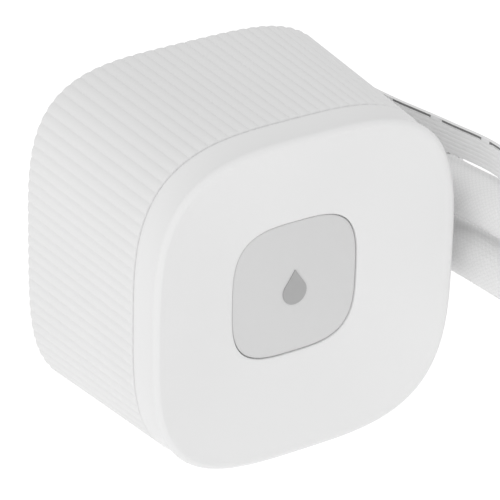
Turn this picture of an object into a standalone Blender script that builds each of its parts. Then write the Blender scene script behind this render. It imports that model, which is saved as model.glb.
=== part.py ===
"""Liquid-cooler pump head: a ribbed squircle housing with a dished front cap,
a centrifugal pump, a copper cold plate, two coolant hoses and a flat lead.

Frame: metres, +Z up, the front cap faces -Y, the cold plate faces +Y and the
origin is the centre of its contact face. Depth is measured from that face
towards the front. All dimensions below are in millimetres.
"""
import math

import bmesh
import bpy
import numpy as np
from mathutils import Matrix, Vector

MM = 0.001

# ---- shroud and cap -------------------------------------------------------
FRONT_WIDTH = 80.0          # across the shroud where it meets the cap
REAR_FLARE = 2.3            # how much wider the rear rim is
REAR_WIDTH = FRONT_WIDTH + REAR_FLARE
FRONT_EXPONENT = 3.28       # squircle exponents of the two ends
REAR_EXPONENT = 3.9
SHROUD_REAR = 2.5           # depth of the rear rim
SHROUD_DEPTH = 43.8
SHROUD_WALL = 2.35          # under the ribs
LEDGE_DEPTH = 3.0           # seat of the inner frame, behind the front rim
LEDGE_STEP = 0.8
RIB_COUNT = 104
RIB_HEIGHT = 0.35
CAP_GAP = 0.3
CAP_INSET = 0.3             # step in from the shroud to the cap, each side
CAP_WAIST = 0.9             # how much narrower the cap is halfway
CAP_TAPER = 0.5             # and at its front
CAP_REAR_WIDTH = FRONT_WIDTH - 2 * CAP_INSET
CAP_WAIST_WIDTH = CAP_REAR_WIDTH - CAP_WAIST
CAP_FRONT_WIDTH = CAP_REAR_WIDTH - CAP_TAPER
CAP_EXPONENT = 3.35
CAP_DEPTH = 8.8
CAP_EDGE = 0.8              # rounding of the front edge
CAP_WALL = 2.2
DISH_DEPTH = 5.4            # front edge down to the badge
BADGE_WIDTH = 32.5
BADGE_EXPONENT = 3.36
BADGE_THICK = 0.7
BADGE_RECESS = 0.3
EMBLEM_HEIGHT = 8.6
EMBLEM_THICK = 0.25

# ---- cold plate and pump --------------------------------------------------
PLATE_WIDTH = 56.0
PLATE_CORNER = 10.0
PLATE_THICK = 3.0
FIN_COUNT = 13
FIN_PITCH = 2.2
FIN_THICK = 0.8
FIN_LENGTH = 24.0
FIN_HEIGHT = 1.5
BASE_REAR = 3.3             # lower housing
BASE_FRONT = 18.0
CHAMBER_RADIUS = 15.5
CHAMBER_FLOOR = 14.6
PORT_DEPTH = 10.2
PORT_RADIUS = 3.9
SEAL_INSET = 4.3            # elbow seals, in from the side of the lower housing
HOSE_OFFSET = 7.2           # hoses above and below the middle
CAN_REAR = 18.3             # upper housing
CAN_FLANGE = 2.7
CAN_WALL = 1.4
FLANGE_SCREW_OFFSET = PLATE_WIDTH / 2 - 7.5
CAN_ROOF = 21.6             # inside of the chamber roof
MAGNET_WELL_RADIUS = 9.9
MAGNET_WELL_ROOF = 34.6
MAGNET_RADIUS = 9.2
MAGNET_REAR = 22.0
MAGNET_FRONT = 33.0
IMPELLER_RADIUS = 13.2
BLADE_COUNT = 7
SHAFT_RADIUS = 1.5
STATOR_OUTER = 22.0
STATOR_INNER = 18.5
STATOR_REAR = 26.5
STATOR_FRONT = 32.5
TOOTH_COUNT = 6
TOOTH_WIDTH = 4.0
BOARD_REAR = 37.0
BOARD_THICK = 1.6
BOARD_RADIUS = 28.0
FRAME_THICK = 2.4
POST_RADIUS = 2.8
POST_CLEARANCE = 0.71       # from a corner post to the shroud, along either side
POST_OFFSET = ((FRONT_WIDTH / 2 - RIB_HEIGHT - SHROUD_WALL) * 0.5 ** (1 / FRONT_EXPONENT)
               - POST_RADIUS * math.sqrt(0.5) - POST_CLEARANCE)
MAGNET_OFFSET = 28.0

# ---- hoses, fittings and lead ---------------------------------------------
HOSE_DIAMETER = 12.0
HOSE_FIT = 0.15             # round a hose in its ferrule
HOSE_STANDOFF = 10.05       # from the rear rim to a hose's middle
HOSE_X = REAR_WIDTH / 2 + HOSE_STANDOFF
HOSE_START = 24.0
FERRULE_WALL = 0.55
FERRULE_DIAMETER = HOSE_DIAMETER + 2 * (HOSE_FIT + FERRULE_WALL)
FERRULE_LENGTH = 15.0
NUT_RADIUS = 7.75
LEAD_WIDTH = 7.6
LEAD_THICK = 1.4
LEAD_Z = 20.9
LEAD_GAP = 0.3              # round the lead in its guide
GUIDE_RISE = 2.2            # its walls end this far above the lead's middle, so it is open on top
LEAD_STANDOFF = 2.25        # from the rear rim to the lead's middle
LEAD_X = REAR_WIDTH / 2 + LEAD_STANDOFF

# Hand-chosen points that the hoses and the lead run through.
RETURN_ROUTE = [(51.2, -24, 7.2), (51.2, -37, 7.2), (53.0, -52, 7.2), (55.4, -68, 5.6), (55.8, -86, -1.6),
                (54.0, -104, -12.2), (51.6, -122, -23.6), (50.0, -140, -32.0), (51.0, -159, -35.0),
                (60.4, -184, -35.0), (80.6, -203, -35.0), (108.0, -211.4, -35.0), (136.4, -208, -35.0),
                (160.6, -192, -35.0), (176.0, -168, -35.0), (181.6, -141, -35.0), (183.0, -114, -34.2),
                (184.2, -94, -33.2), (184.2, -82, -33.2)]
SUPPLY_ROUTE = [(51.2, -24, -7.2), (51.2, -37, -7.2), (52.4, -52, -7.2), (55.4, -68, -9.4),
                (59.6, -86, -16.4), (62.4, -104, -25.6), (64.2, -122, -32.2), (65.0, -140, -34.8),
                (67.4, -158, -35.0), (76.4, -177, -35.0), (95.0, -191.6, -35.0), (116.4, -195.4, -35.0),
                (138.4, -189, -35.0), (155.4, -173.6, -35.0), (164.0, -152, -35.0), (166.0, -128, -35.0),
                (166.2, -100, -35.0), (166.2, -76, -34.5), (166.2, -54, -33.2), (166.2, -42, -33.2)]
LEAD_ROUTE = [(43.4, -16.4, 20.9), (44.6, -24, 20.9), (48.0, -40, 20.9), (51.0, -55, 20.3),
              (51.4, -70, 16.6), (46.8, -88, 6.6), (40.6, -106, -6.8), (35.8, -124, -21.0),
              (33.4, -143, -33.2), (32.0, -161, -39.2), (27.6, -177, -40.2), (15.6, -190, -40.2),
              (-2.0, -195, -40.2), (-19.0, -188, -40.2), (-28.0, -172, -40.2), (-29.0, -152, -40.2),
              (-26.6, -130, -40.2), (-26.0, -108, -39.4), (-26.0, -96, -38.9)]


def clear_scene():
    """Remove every object, mesh, curve and material of the open scene."""
    for item in list(bpy.data.objects):
        bpy.data.objects.remove(item, do_unlink=True)
    for block in (bpy.data.meshes, bpy.data.curves, bpy.data.materials, bpy.data.collections):
        for item in list(block):
            block.remove(item)


clear_scene()
PARTS = bpy.data.collections.new("pump_head")
CUTTERS = bpy.data.collections.new("cutters")
bpy.context.scene.collection.children.link(PARTS)
bpy.context.scene.collection.children.link(CUTTERS)


def material(name, colour, roughness, metallic=0.0):
    """A Principled material of one colour."""
    mat = bpy.data.materials.new(name)
    mat.use_nodes = True
    shader = mat.node_tree.nodes["Principled BSDF"]
    shader.inputs["Base Color"].default_value = (*colour, 1.0)
    shader.inputs["Roughness"].default_value = roughness
    shader.inputs["Metallic"].default_value = metallic
    mat.diffuse_color = (*colour, 1.0)
    return mat


WHITE = material("white_plastic", (0.80, 0.80, 0.79), 0.45)
BADGE_GREY = material("badge_grey", (0.62, 0.62, 0.61), 0.35)
EMBLEM_GREY = material("emblem_grey", (0.36, 0.36, 0.37), 0.4)
BLACK = material("black_plastic", (0.03, 0.03, 0.035), 0.45)
RUBBER = material("rubber", (0.02, 0.02, 0.02), 0.8)
COPPER = material("copper", (0.72, 0.36, 0.22), 0.25, 1.0)
STEEL = material("steel", (0.62, 0.62, 0.64), 0.3, 1.0)
NICKEL = material("nickel", (0.70, 0.69, 0.66), 0.2, 1.0)
MAGNET = material("magnet", (0.22, 0.22, 0.24), 0.35, 1.0)
LAMINATION = material("lamination", (0.30, 0.31, 0.33), 0.5, 1.0)
WINDING = material("winding", (0.62, 0.25, 0.10), 0.35, 0.8)
BOARD_GREEN = material("board", (0.05, 0.22, 0.12), 0.5)
CERAMIC = material("ceramic", (0.85, 0.84, 0.80), 0.25)
GRAPHITE = material("graphite", (0.08, 0.08, 0.085), 0.5)
BRAID = material("white_braid", (0.78, 0.78, 0.78), 0.7)
LEAD_WHITE = material("lead_white", (0.74, 0.74, 0.74), 0.5)


# ---- building blocks --------------------------------------------------------
def at(x, depth, z):
    """A point given by its depth in front of the contact face."""
    return Vector((x, -depth, z))


def add_cylinder(bm, start, end, radius, segments=32, end_radius=None):
    """A capped cylinder or cone between two points."""
    start, end = Vector(start), Vector(end)
    axis = end - start
    place = Matrix.Translation((start + end) / 2) @ axis.to_track_quat("Z", "Y").to_matrix().to_4x4()
    far = radius if end_radius is None else end_radius
    bmesh.ops.create_cone(bm, cap_ends=True, segments=segments, radius1=radius, radius2=far,
                          depth=axis.length, matrix=place)


def add_box(bm, low, high):
    """A box between two corners."""
    low, high = Vector(low), Vector(high)
    size = high - low
    size = Vector([abs(value) for value in size])
    place = Matrix.Translation((low + high) / 2) @ Matrix.Diagonal((*size, 1.0))
    bmesh.ops.create_cube(bm, size=1.0, matrix=place)


def new_object(name, bm, mat, home=PARTS, smooth=True):
    """Turn a bmesh in millimetres into an object in metres."""
    mesh = bpy.data.meshes.new(name)
    bm.to_mesh(mesh)
    bm.free()
    mesh.transform(Matrix.Scale(MM, 4))
    mesh.materials.append(mat)
    if smooth:
        mesh.shade_smooth()
        mesh.set_sharp_from_angle(angle=math.radians(35))
    obj = bpy.data.objects.new(name, mesh)
    home.objects.link(obj)
    return obj


def cutter(name, bm):
    """A hidden object that shapes another one."""
    obj = new_object(name, bm, BLACK, CUTTERS, smooth=False)
    obj.hide_render = True
    obj.display_type = "WIRE"
    return obj


def apply_tool(target, bm, operation):
    """Cut a shape from a target, or join it on."""
    tool = cutter(f"{target.name}_{operation.lower()}_{len(target.modifiers)}", bm)
    mod = target.modifiers.new(tool.name, "BOOLEAN")
    mod.operation = operation
    mod.solver = "EXACT"
    mod.object = tool
    return tool


def cut(target, bm):
    return apply_tool(target, bm, "DIFFERENCE")


def join(target, bm):
    return apply_tool(target, bm, "UNION")


def squircle(half, exponent, count, start=0.0):
    """Evenly spaced points of a squircle, as (x, z) pairs with their outward normals."""
    turn = np.linspace(0, 2 * math.pi, 4001)
    x = half * np.sign(np.cos(turn)) * np.abs(np.cos(turn)) ** (2 / exponent)
    z = half * np.sign(np.sin(turn)) * np.abs(np.sin(turn)) ** (2 / exponent)
    run = np.concatenate([[0], np.cumsum(np.hypot(np.diff(x), np.diff(z)))])
    want = (np.arange(count) + start) / count * run[-1]
    px, pz = np.interp(want, run, x), np.interp(want, run, z)
    nx = np.sign(px) * np.abs(px / half) ** (exponent - 1)
    nz = np.sign(pz) * np.abs(pz / half) ** (exponent - 1)
    size = np.hypot(nx, nz)
    return np.stack([px, pz], 1), np.stack([nx / size, nz / size], 1)


def ring_verts(bm, points, depth):
    return [bm.verts.new(at(x, depth, z)) for x, z in points]


def bridge(bm, first, second):
    count = len(first)
    for i in range(count):
        j = (i + 1) % count
        bm.faces.new((first[i], first[j], second[j], second[i]))


def squircle_loft(rings, closed, count=72, overshoot=0.0):
    """Skin a list of (half width, exponent, depth); closed joins the last ring to the first."""
    bm = bmesh.new()
    if overshoot:
        first, last = rings[0], rings[-1]
        rings = [(*first[:2], first[2] - overshoot), *rings, (*last[:2], last[2] + overshoot)]
    loops = [ring_verts(bm, squircle(half, exponent, count)[0], depth) for half, exponent, depth in rings]
    for first, second in zip(loops, loops[1:]):
        bridge(bm, first, second)
    if closed:
        bridge(bm, loops[-1], loops[0])
    else:
        bm.faces.new(loops[0])
        bm.faces.new(loops[-1])
    bmesh.ops.recalc_face_normals(bm, faces=bm.faces)
    return bm


def rounded_square(half, corner, near, far, segments=4):
    """A square prism with round corners between two depths."""
    bm = bmesh.new()
    points = []
    for quarter in range(4):
        base = quarter * math.pi / 2
        cx = (half - corner) * (1 if quarter in (0, 3) else -1)
        cz = (half - corner) * (1 if quarter in (0, 1) else -1)
        for step in range(segments + 1):
            angle = base + step / segments * math.pi / 2
            points.append((cx + corner * math.cos(angle), cz + corner * math.sin(angle)))
    loops = [ring_verts(bm, points, near), ring_verts(bm, points, far)]
    bridge(bm, *loops)
    bm.faces.new(loops[0])
    bm.faces.new(loops[1])
    bmesh.ops.recalc_face_normals(bm, faces=bm.faces)
    return bm


def ring_solid(name, inner, outer, near, far, mat, segments=32):
    """A flat-ended tube along the depth axis, turned from its profile."""
    bm = bmesh.new()
    loops = []
    for radius, depth in ((outer, near), (outer, far), (inner, far), (inner, near)):
        turn = [2 * math.pi * i / segments for i in range(segments)]
        loops.append(ring_verts(bm, [(radius * math.cos(a), radius * math.sin(a)) for a in turn], depth))
    for first, second in zip(loops, loops[1:] + loops[:1]):
        bridge(bm, first, second)
    bmesh.ops.recalc_face_normals(bm, faces=bm.faces)
    return new_object(name, bm, mat)


def turned_loops(bm, start, turn, profile, segments):
    """Rings of vertices of a turned profile of (radius, height) about the turned Z axis."""
    loops = []
    for radius, height in profile:
        loop = []
        for i in range(segments):
            a = 2 * math.pi * i / segments
            offset = Vector((radius * math.cos(a), radius * math.sin(a), height))
            loop.append(bm.verts.new(Vector(start) + turn @ offset))
        loops.append(loop)
    return loops


def add_torus(bm, centre, axis, major, minor, segments=24, sides=6):
    """A ring of round section about an axis."""
    turn = Vector(axis).to_track_quat("Z", "Y").to_matrix()
    loops = []
    for i in range(segments):
        a = 2 * math.pi * i / segments
        out = turn @ Vector((math.cos(a), math.sin(a), 0))
        up = turn @ Vector((0, 0, 1))
        loop = []
        for k in range(sides):
            b = 2 * math.pi * k / sides
            offset = out * (major + minor * math.cos(b)) + up * minor * math.sin(b)
            loop.append(bm.verts.new(Vector(centre) + offset))
        loops.append(loop)
    for first, second in zip(loops, loops[1:] + loops[:1]):
        bridge(bm, first, second)
    bmesh.ops.recalc_face_normals(bm, faces=bm.faces)


def smooth_route(points, spacing):
    """Points about evenly spaced along a smooth curve through the given ones."""
    pts = np.array(points, dtype=float)
    ends = np.vstack([2 * pts[0] - pts[1], pts, 2 * pts[-1] - pts[-2]])
    dense = [pts[0]]
    for i in range(len(pts) - 1):
        p0, p1, p2, p3 = ends[i], ends[i + 1], ends[i + 2], ends[i + 3]
        t = [0.0]
        for a, b in ((p0, p1), (p1, p2), (p2, p3)):
            t.append(t[-1] + math.sqrt(np.linalg.norm(b - a)))
        span = t[2] - t[1]
        m1 = span * ((p1 - p0) / (t[1] - t[0]) - (p2 - p0) / (t[2] - t[0]) + (p2 - p1) / span)
        m2 = span * ((p2 - p1) / span - (p3 - p1) / (t[3] - t[1]) + (p3 - p2) / (t[3] - t[2]))
        for u in np.linspace(0, 1, 41)[1:]:
            dense.append((2 * u ** 3 - 3 * u ** 2 + 1) * p1 + (u ** 3 - 2 * u ** 2 + u) * m1
                         + (-2 * u ** 3 + 3 * u ** 2) * p2 + (u ** 3 - u ** 2) * m2)
    dense = np.array(dense)
    run = np.concatenate([[0], np.cumsum(np.linalg.norm(np.diff(dense, axis=0), axis=1))])
    count = max(2, int(round(run[-1] / spacing)) + 1)
    want = np.linspace(0, run[-1], count)
    return np.stack([np.interp(want, run, dense[:, k]) for k in range(3)], 1)


def curve_tube(name, points, radius, mat, resolution=3):
    """A round tube along a route."""
    data = bpy.data.curves.new(name, "CURVE")
    data.dimensions = "3D"
    data.twist_mode = "MINIMUM"
    data.bevel_depth = radius * MM
    data.bevel_resolution = resolution
    data.use_fill_caps = True
    spline = data.splines.new("POLY")
    spline.points.add(len(points) - 1)
    for point, place in zip(spline.points, points):
        point.co = (*(np.array(place) * MM), 1.0)
    data.materials.append(mat)
    obj = bpy.data.objects.new(name, data)
    PARTS.objects.link(obj)
    return obj


# ---- shroud -----------------------------------------------------------------
def ribbed_ring(half, exponent, depth, height):
    """One outline of the fluted wall: three points to a rib, one of them in the groove."""
    points, normals = squircle(half, exponent, RIB_COUNT * 3)
    sink = np.tile([1.0, 0.0, 0.0], RIB_COUNT) * height
    return [(p[0] - n[0] * s, p[1] - n[1] * s) for p, n, s in zip(points, normals, sink)], depth


def build_shroud():
    front = SHROUD_REAR + SHROUD_DEPTH
    rear_half, front_half = REAR_WIDTH / 2, FRONT_WIDTH / 2
    inner_rear = rear_half - RIB_HEIGHT - SHROUD_WALL + 0.6
    inner_front = front_half - RIB_HEIGHT - SHROUD_WALL
    ledge = front - LEDGE_DEPTH
    bm = bmesh.new()
    outlines = [ribbed_ring(rear_half, REAR_EXPONENT, SHROUD_REAR, RIB_HEIGHT),
                ribbed_ring(front_half, FRONT_EXPONENT, front, RIB_HEIGHT)]
    loops = [ring_verts(bm, points, depth) for points, depth in outlines]
    bridge(bm, *loops)
    bm.faces.new(loops[0])
    bm.faces.new(loops[1])
    bmesh.ops.recalc_face_normals(bm, faces=bm.faces)
    shroud = new_object("ribbed_shroud", bm, WHITE)
    step = inner_front + LEDGE_STEP
    cut(shroud, squircle_loft([(inner_rear, REAR_EXPONENT, SHROUD_REAR), (inner_front, FRONT_EXPONENT, ledge),
                               (step, FRONT_EXPONENT, ledge), (step, FRONT_EXPONENT, front)], closed=False,
                              count=48, overshoot=1.0))
    notch = bmesh.new()
    inside, outside = rear_half - 7.15, rear_half + 4.85
    add_box(notch, at(inside, SHROUD_REAR - 1, -13.0), at(outside, 16.0, 13.0))
    add_box(notch, at(inside, 8.4, LEAD_Z - 3.4), at(outside, 14.2, LEAD_Z + 3.4))
    cut(shroud, notch)
    return shroud


def half_at(depth):
    """Inner half width and exponent of the shroud at a depth."""
    front = SHROUD_REAR + SHROUD_DEPTH - LEDGE_DEPTH
    share = (depth - SHROUD_REAR) / (front - SHROUD_REAR)
    rear = REAR_WIDTH / 2 - RIB_HEIGHT - SHROUD_WALL + 0.6
    near = FRONT_WIDTH / 2 - RIB_HEIGHT - SHROUD_WALL
    return rear + (near - rear) * share, REAR_EXPONENT + (FRONT_EXPONENT - REAR_EXPONENT) * share


# ---- front cap --------------------------------------------------------------
def dish_depth(half):
    """Depth of the dished face at a half width, from the rim to the badge."""
    rim, hub = CAP_FRONT_WIDTH / 2 - CAP_EDGE, BADGE_WIDTH / 2
    front = SHROUD_REAR + SHROUD_DEPTH + CAP_GAP + CAP_DEPTH
    share = (half - hub) / (rim - hub)
    return front - DISH_DEPTH * (1 - share ** 1.12)


def build_cap():
    rear = SHROUD_REAR + SHROUD_DEPTH + CAP_GAP
    front = rear + CAP_DEPTH
    n = CAP_EXPONENT
    edge = CAP_FRONT_WIDTH / 2
    hub = BADGE_WIDTH / 2
    pocket = dish_depth(hub) - BADGE_RECESS - BADGE_THICK - 0.1
    inner = CAP_REAR_WIDTH / 2 - CAP_WALL
    rings = [
        (CAP_REAR_WIDTH / 2, n, rear),
        (CAP_WAIST_WIDTH / 2, n, rear + CAP_DEPTH * 0.5),
        (edge, n, front - CAP_EDGE),
        (edge - CAP_EDGE * 0.3, n, front - CAP_EDGE * 0.3),
        (edge - CAP_EDGE, n, front),
        (edge - 8.5, n, dish_depth(edge - 8.5)),
        (hub + 6.5, n, dish_depth(hub + 6.5)),
        (hub + 0.2, BADGE_EXPONENT, dish_depth(hub + 0.2)),
        (hub + 0.2, BADGE_EXPONENT, pocket),
        (3.0, 2.2, pocket),
    ]
    back = [
        (inner, n, rear),
        (inner - 0.6, n, front - CAP_WALL - 1.6),
        (inner - 1.8, n, front - CAP_WALL - 1.2),
        (hub + 1.5, BADGE_EXPONENT, dish_depth(hub) - CAP_WALL - 1.0),
        (3.0, 2.2, dish_depth(hub) - CAP_WALL - 1.2),
    ]
    cap_mesh = squircle_loft(back[::-1] + rings, closed=False, count=56)
    cap = new_object("front_cap", cap_mesh, WHITE)
    bosses = bmesh.new()
    for x, z in side_points(MAGNET_OFFSET):
        add_cylinder(bosses, at(x, rear + 0.3, z), at(x, dish_depth(24.0) - 1.0, z), 4.4, 18)
    join(cap, bosses)
    holes = bmesh.new()
    for x, z in side_points(MAGNET_OFFSET):
        add_cylinder(holes, at(x, rear - 1, z), at(x, rear + 2.6, z), 3.2, 18)
    cut(cap, holes)
    return cap


def cross_points(offset):
    return [(offset, 0), (0, offset), (-offset, 0), (0, -offset)]


def side_points(offset):
    return [(offset, 0), (-offset, 0)]


def corner_points(offset):
    return [(offset, offset), (-offset, offset), (-offset, -offset), (offset, -offset)]


def build_badge():
    hub = BADGE_WIDTH / 2
    top = dish_depth(hub) - BADGE_RECESS
    bm = squircle_loft([(hub - 0.15, BADGE_EXPONENT, top - BADGE_THICK),
                        (hub, BADGE_EXPONENT, top - BADGE_THICK + 0.2),
                        (hub, BADGE_EXPONENT, top - 0.15),
                        (hub - 0.15, BADGE_EXPONENT, top)], closed=False, count=44)
    new_object("badge_plate", bm, BADGE_GREY)
    # a plain drop, round below and pointed above
    outline = []
    radius = EMBLEM_HEIGHT * 0.36
    low = -EMBLEM_HEIGHT / 2 + radius
    for i in range(25):
        a = math.radians(-210 + 240 * i / 24)
        outline.append((radius * math.cos(a), low + radius * math.sin(a)))
    outline.append((0.0, EMBLEM_HEIGHT / 2))
    bm = bmesh.new()
    loops = [ring_verts(bm, outline, top + 0.02), ring_verts(bm, outline, top + 0.02 + EMBLEM_THICK)]
    bridge(bm, *loops)
    bm.faces.new(loops[0])
    bm.faces.new(loops[1])
    bmesh.ops.recalc_face_normals(bm, faces=bm.faces)
    new_object("badge_emblem", bm, EMBLEM_GREY)


def build_magnets():
    rear = SHROUD_REAR + SHROUD_DEPTH + CAP_GAP
    frame_front = SHROUD_REAR + SHROUD_DEPTH - LEDGE_DEPTH + 0.1 + FRAME_THICK
    for side, x in (("right", MAGNET_OFFSET), ("left", -MAGNET_OFFSET)):
        disc("cap_magnet_" + side, at(x, rear + 0.4, 0), at(x, rear + 2.4, 0), 3.0, NICKEL)
        disc("frame_magnet_" + side, at(x, frame_front - 1.7, 0), at(x, frame_front - 0.1, 0), 3.0, NICKEL)


def disc(name, start, end, radius, mat, segments=24):
    bm = bmesh.new()
    add_cylinder(bm, start, end, radius, segments)
    return new_object(name, bm, mat)


# ---- frame, rear cover and screws -------------------------------------------
def build_inner_frame():
    rear = SHROUD_REAR + SHROUD_DEPTH - LEDGE_DEPTH + 0.1
    front = rear + FRAME_THICK
    half = FRONT_WIDTH / 2 - RIB_HEIGHT - SHROUD_WALL + LEDGE_STEP - 0.2
    outlines = [(half, FRONT_EXPONENT, rear), (half, FRONT_EXPONENT, front)]
    frame = new_object("inner_frame", squircle_loft(outlines, closed=False, count=44), BLACK)
    holes = bmesh.new()
    add_cylinder(holes, at(0, rear - 1, 0), at(0, front + 1, 0), 20.0, 28)
    for x, z in corner_points(POST_OFFSET):
        add_cylinder(holes, at(x, rear - 1, z), at(x, front + 1, z), 1.4, 10)
    for x, z in side_points(MAGNET_OFFSET):
        add_cylinder(holes, at(x, front - 1.9, z), at(x, front + 1, z), 3.2, 18)
    cut(frame, holes)
    for index, (x, z) in enumerate(corner_points(POST_OFFSET), 1):
        screw(f"frame_screw_{index}", at(x, front + 0.1, z), (0, -1, 0), 2.3, 1.3, 1.05, 9.5)


def screw(name, seat, out, head_radius, head_height, shank_radius, shank_length, segments=12):
    """A pan-head screw as one turned solid: out points from the seat to the head."""
    bm = bmesh.new()
    out = Vector(out)
    turn = out.to_track_quat("Z", "Y").to_matrix()
    profile = [(shank_radius, -shank_length), (shank_radius, 0.0), (head_radius, 0.0),
               (head_radius, head_height * 0.6), (head_radius * 0.8, head_height)]
    loops = turned_loops(bm, seat, turn, profile, segments)
    for first, second in zip(loops, loops[1:]):
        bridge(bm, first, second)
    bm.faces.new(loops[0][::-1])
    bm.faces.new(loops[-1])
    return new_object(name, bm, STEEL)


def build_rear_cover():
    near, far = SHROUD_REAR, SHROUD_REAR + 2.5
    half, exponent = half_at(near)
    low_half, low_exponent = half_at(far)
    outlines = [(half - 0.3, exponent, near), (low_half - 0.3, low_exponent, far)]
    cover = new_object("rear_cover", squircle_loft(outlines, closed=False, count=44), BLACK)
    posts = bmesh.new()
    top = SHROUD_REAR + SHROUD_DEPTH - LEDGE_DEPTH - 0.1
    for x, z in corner_points(POST_OFFSET):
        add_cylinder(posts, at(x, near + 1.2, z), at(x, top, z), POST_RADIUS, 14)
    join(cover, posts)
    cut(cover, rounded_square(PLATE_WIDTH / 2 + 0.4, PLATE_CORNER, near - 1, far + 1))
    holes = bmesh.new()
    add_box(holes, at(26, near + 1.2, -13.8), at(31.5, far + 1, 13.8))
    for x, z in corner_points(POST_OFFSET):
        add_cylinder(holes, at(x, top - 9.6, z), at(x, top + 1, z), 1.25, 10)
    cut(cover, holes)


# ---- cold plate --------------------------------------------------------------
def plate_screw_points():
    far, near = PLATE_WIDTH / 2 - 3.4, 18.0
    return [(near, far), (-near, far), (-near, -far), (near, -far)]


def build_cold_plate():
    plate = new_object("cold_plate", rounded_square(PLATE_WIDTH / 2, PLATE_CORNER, 0, PLATE_THICK), COPPER)
    fins = bmesh.new()
    for i in range(FIN_COUNT):
        z = (i - (FIN_COUNT - 1) / 2) * FIN_PITCH
        add_box(fins, at(-FIN_LENGTH / 2, PLATE_THICK - 0.5, z - FIN_THICK / 2),
                at(FIN_LENGTH / 2, PLATE_THICK + FIN_HEIGHT, z + FIN_THICK / 2))
    join(plate, fins)
    holes = bmesh.new()
    for x, z in plate_screw_points():
        add_cylinder(holes, at(x, -1, z), at(x, PLATE_THICK + 1, z), 1.5, 10)
    cut(plate, holes)
    sinks = bmesh.new()
    for x, z in plate_screw_points():
        add_cylinder(sinks, at(x, -1, z), at(x, 1.8, z), 2.6, 14)
    cut(plate, sinks)
    for index, (x, z) in enumerate(plate_screw_points(), 1):
        screw(f"plate_screw_{index}", at(x, 1.6, z), (0, 1, 0), 2.3, 1.3, 1.1, 7.5)
    gasket = new_object("plate_gasket", rounded_square(22.0, 6.0, 3.15, 4.05), RUBBER)
    cut(gasket, rounded_square(20.8, 4.8, 2, 5))
    jet = new_object("jet_plate", rounded_square(14.8, 2.0, PLATE_THICK + FIN_HEIGHT + 0.1,
                                                 PLATE_THICK + FIN_HEIGHT + 0.8, segments=3), RUBBER)
    slot = bmesh.new()
    add_box(slot, at(-1.2, 3, -11), at(1.2, 7, 11))
    cut(jet, slot)


# ---- pump housings -----------------------------------------------------------
def clamp_points():
    return [14.9, -14.9]


def build_lower_housing():
    block = rounded_square(PLATE_WIDTH / 2, PLATE_CORNER, BASE_REAR, BASE_FRONT)
    base = new_object("lower_housing", block, BLACK)
    rooms = bmesh.new()
    add_box(rooms, at(-17, BASE_REAR - 1, -16), at(17, 5.6, 16))
    add_cylinder(rooms, at(0, CHAMBER_FLOOR, 0), at(0, BASE_FRONT + 1, 0), CHAMBER_RADIUS, 28)
    cut(base, rooms)
    ports = bmesh.new()
    outside = PLATE_WIDTH / 2 + 2
    for x, z in ((4, -HOSE_OFFSET), (11, HOSE_OFFSET)):
        add_cylinder(ports, at(x, PORT_DEPTH, z), at(outside, PORT_DEPTH, z), PORT_RADIUS, 18)
    cut(base, ports)
    drops = bmesh.new()
    add_cylinder(drops, at(8, PORT_DEPTH, -HOSE_OFFSET), at(8, CHAMBER_FLOOR + 1, -HOSE_OFFSET), 3.0, 14)
    add_cylinder(drops, at(14.4, 4.5, HOSE_OFFSET), at(14.4, PORT_DEPTH, HOSE_OFFSET), 3.0, 14)
    add_cylinder(drops, at(-11, 4.5, 0), at(-11, CHAMBER_FLOOR + 1, 0), 2.2, 10)
    add_cylinder(drops, at(0, 11.4, 0), at(0, CHAMBER_FLOOR + 1, 0), SHAFT_RADIUS + 0.15, 10)
    cut(base, drops)
    bores = bmesh.new()
    for x, z in plate_screw_points():
        add_cylinder(bores, at(x, BASE_REAR - 1, z), at(x, 9.6, z), 1.35, 10)
    for x, z in corner_points(FLANGE_SCREW_OFFSET):
        add_cylinder(bores, at(x, 11.0, z), at(x, BASE_FRONT + 1, z), 1.35, 10)
    for z in clamp_points():
        add_cylinder(bores, at(outside - 8.5, PORT_DEPTH, z), at(outside, PORT_DEPTH, z), 1.1, 10)
    cut(base, bores)
    groove = rounded_square(22.3, 6.3, BASE_REAR - 1, 4.2)
    cut_ring(base, groove, rounded_square(20.5, 4.5, BASE_REAR - 2, 5))
    seal_groove = bmesh.new()
    add_cylinder(seal_groove, at(0, 16.8, 0), at(0, BASE_FRONT + 1, 0), 18.9, 28)
    island = bmesh.new()
    add_cylinder(island, at(0, 15, 0), at(0, BASE_FRONT + 2, 0), 17.3, 28)
    cut_ring(base, seal_groove, island)
    seal = bmesh.new()
    add_torus(seal, at(0, 17.45, 0), (0, 1, 0), 18.1, 0.55)
    new_object("chamber_seal", seal, RUBBER)


def cut_ring(target, outer_mesh, inner_mesh):
    """Cut a groove: an outer shape that keeps its own middle."""
    tool = cut(target, outer_mesh)
    core = cutter(tool.name + "_core", inner_mesh)
    mod = tool.modifiers.new("core", "BOOLEAN")
    mod.operation = "DIFFERENCE"
    mod.solver = "EXACT"
    mod.object = core


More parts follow.
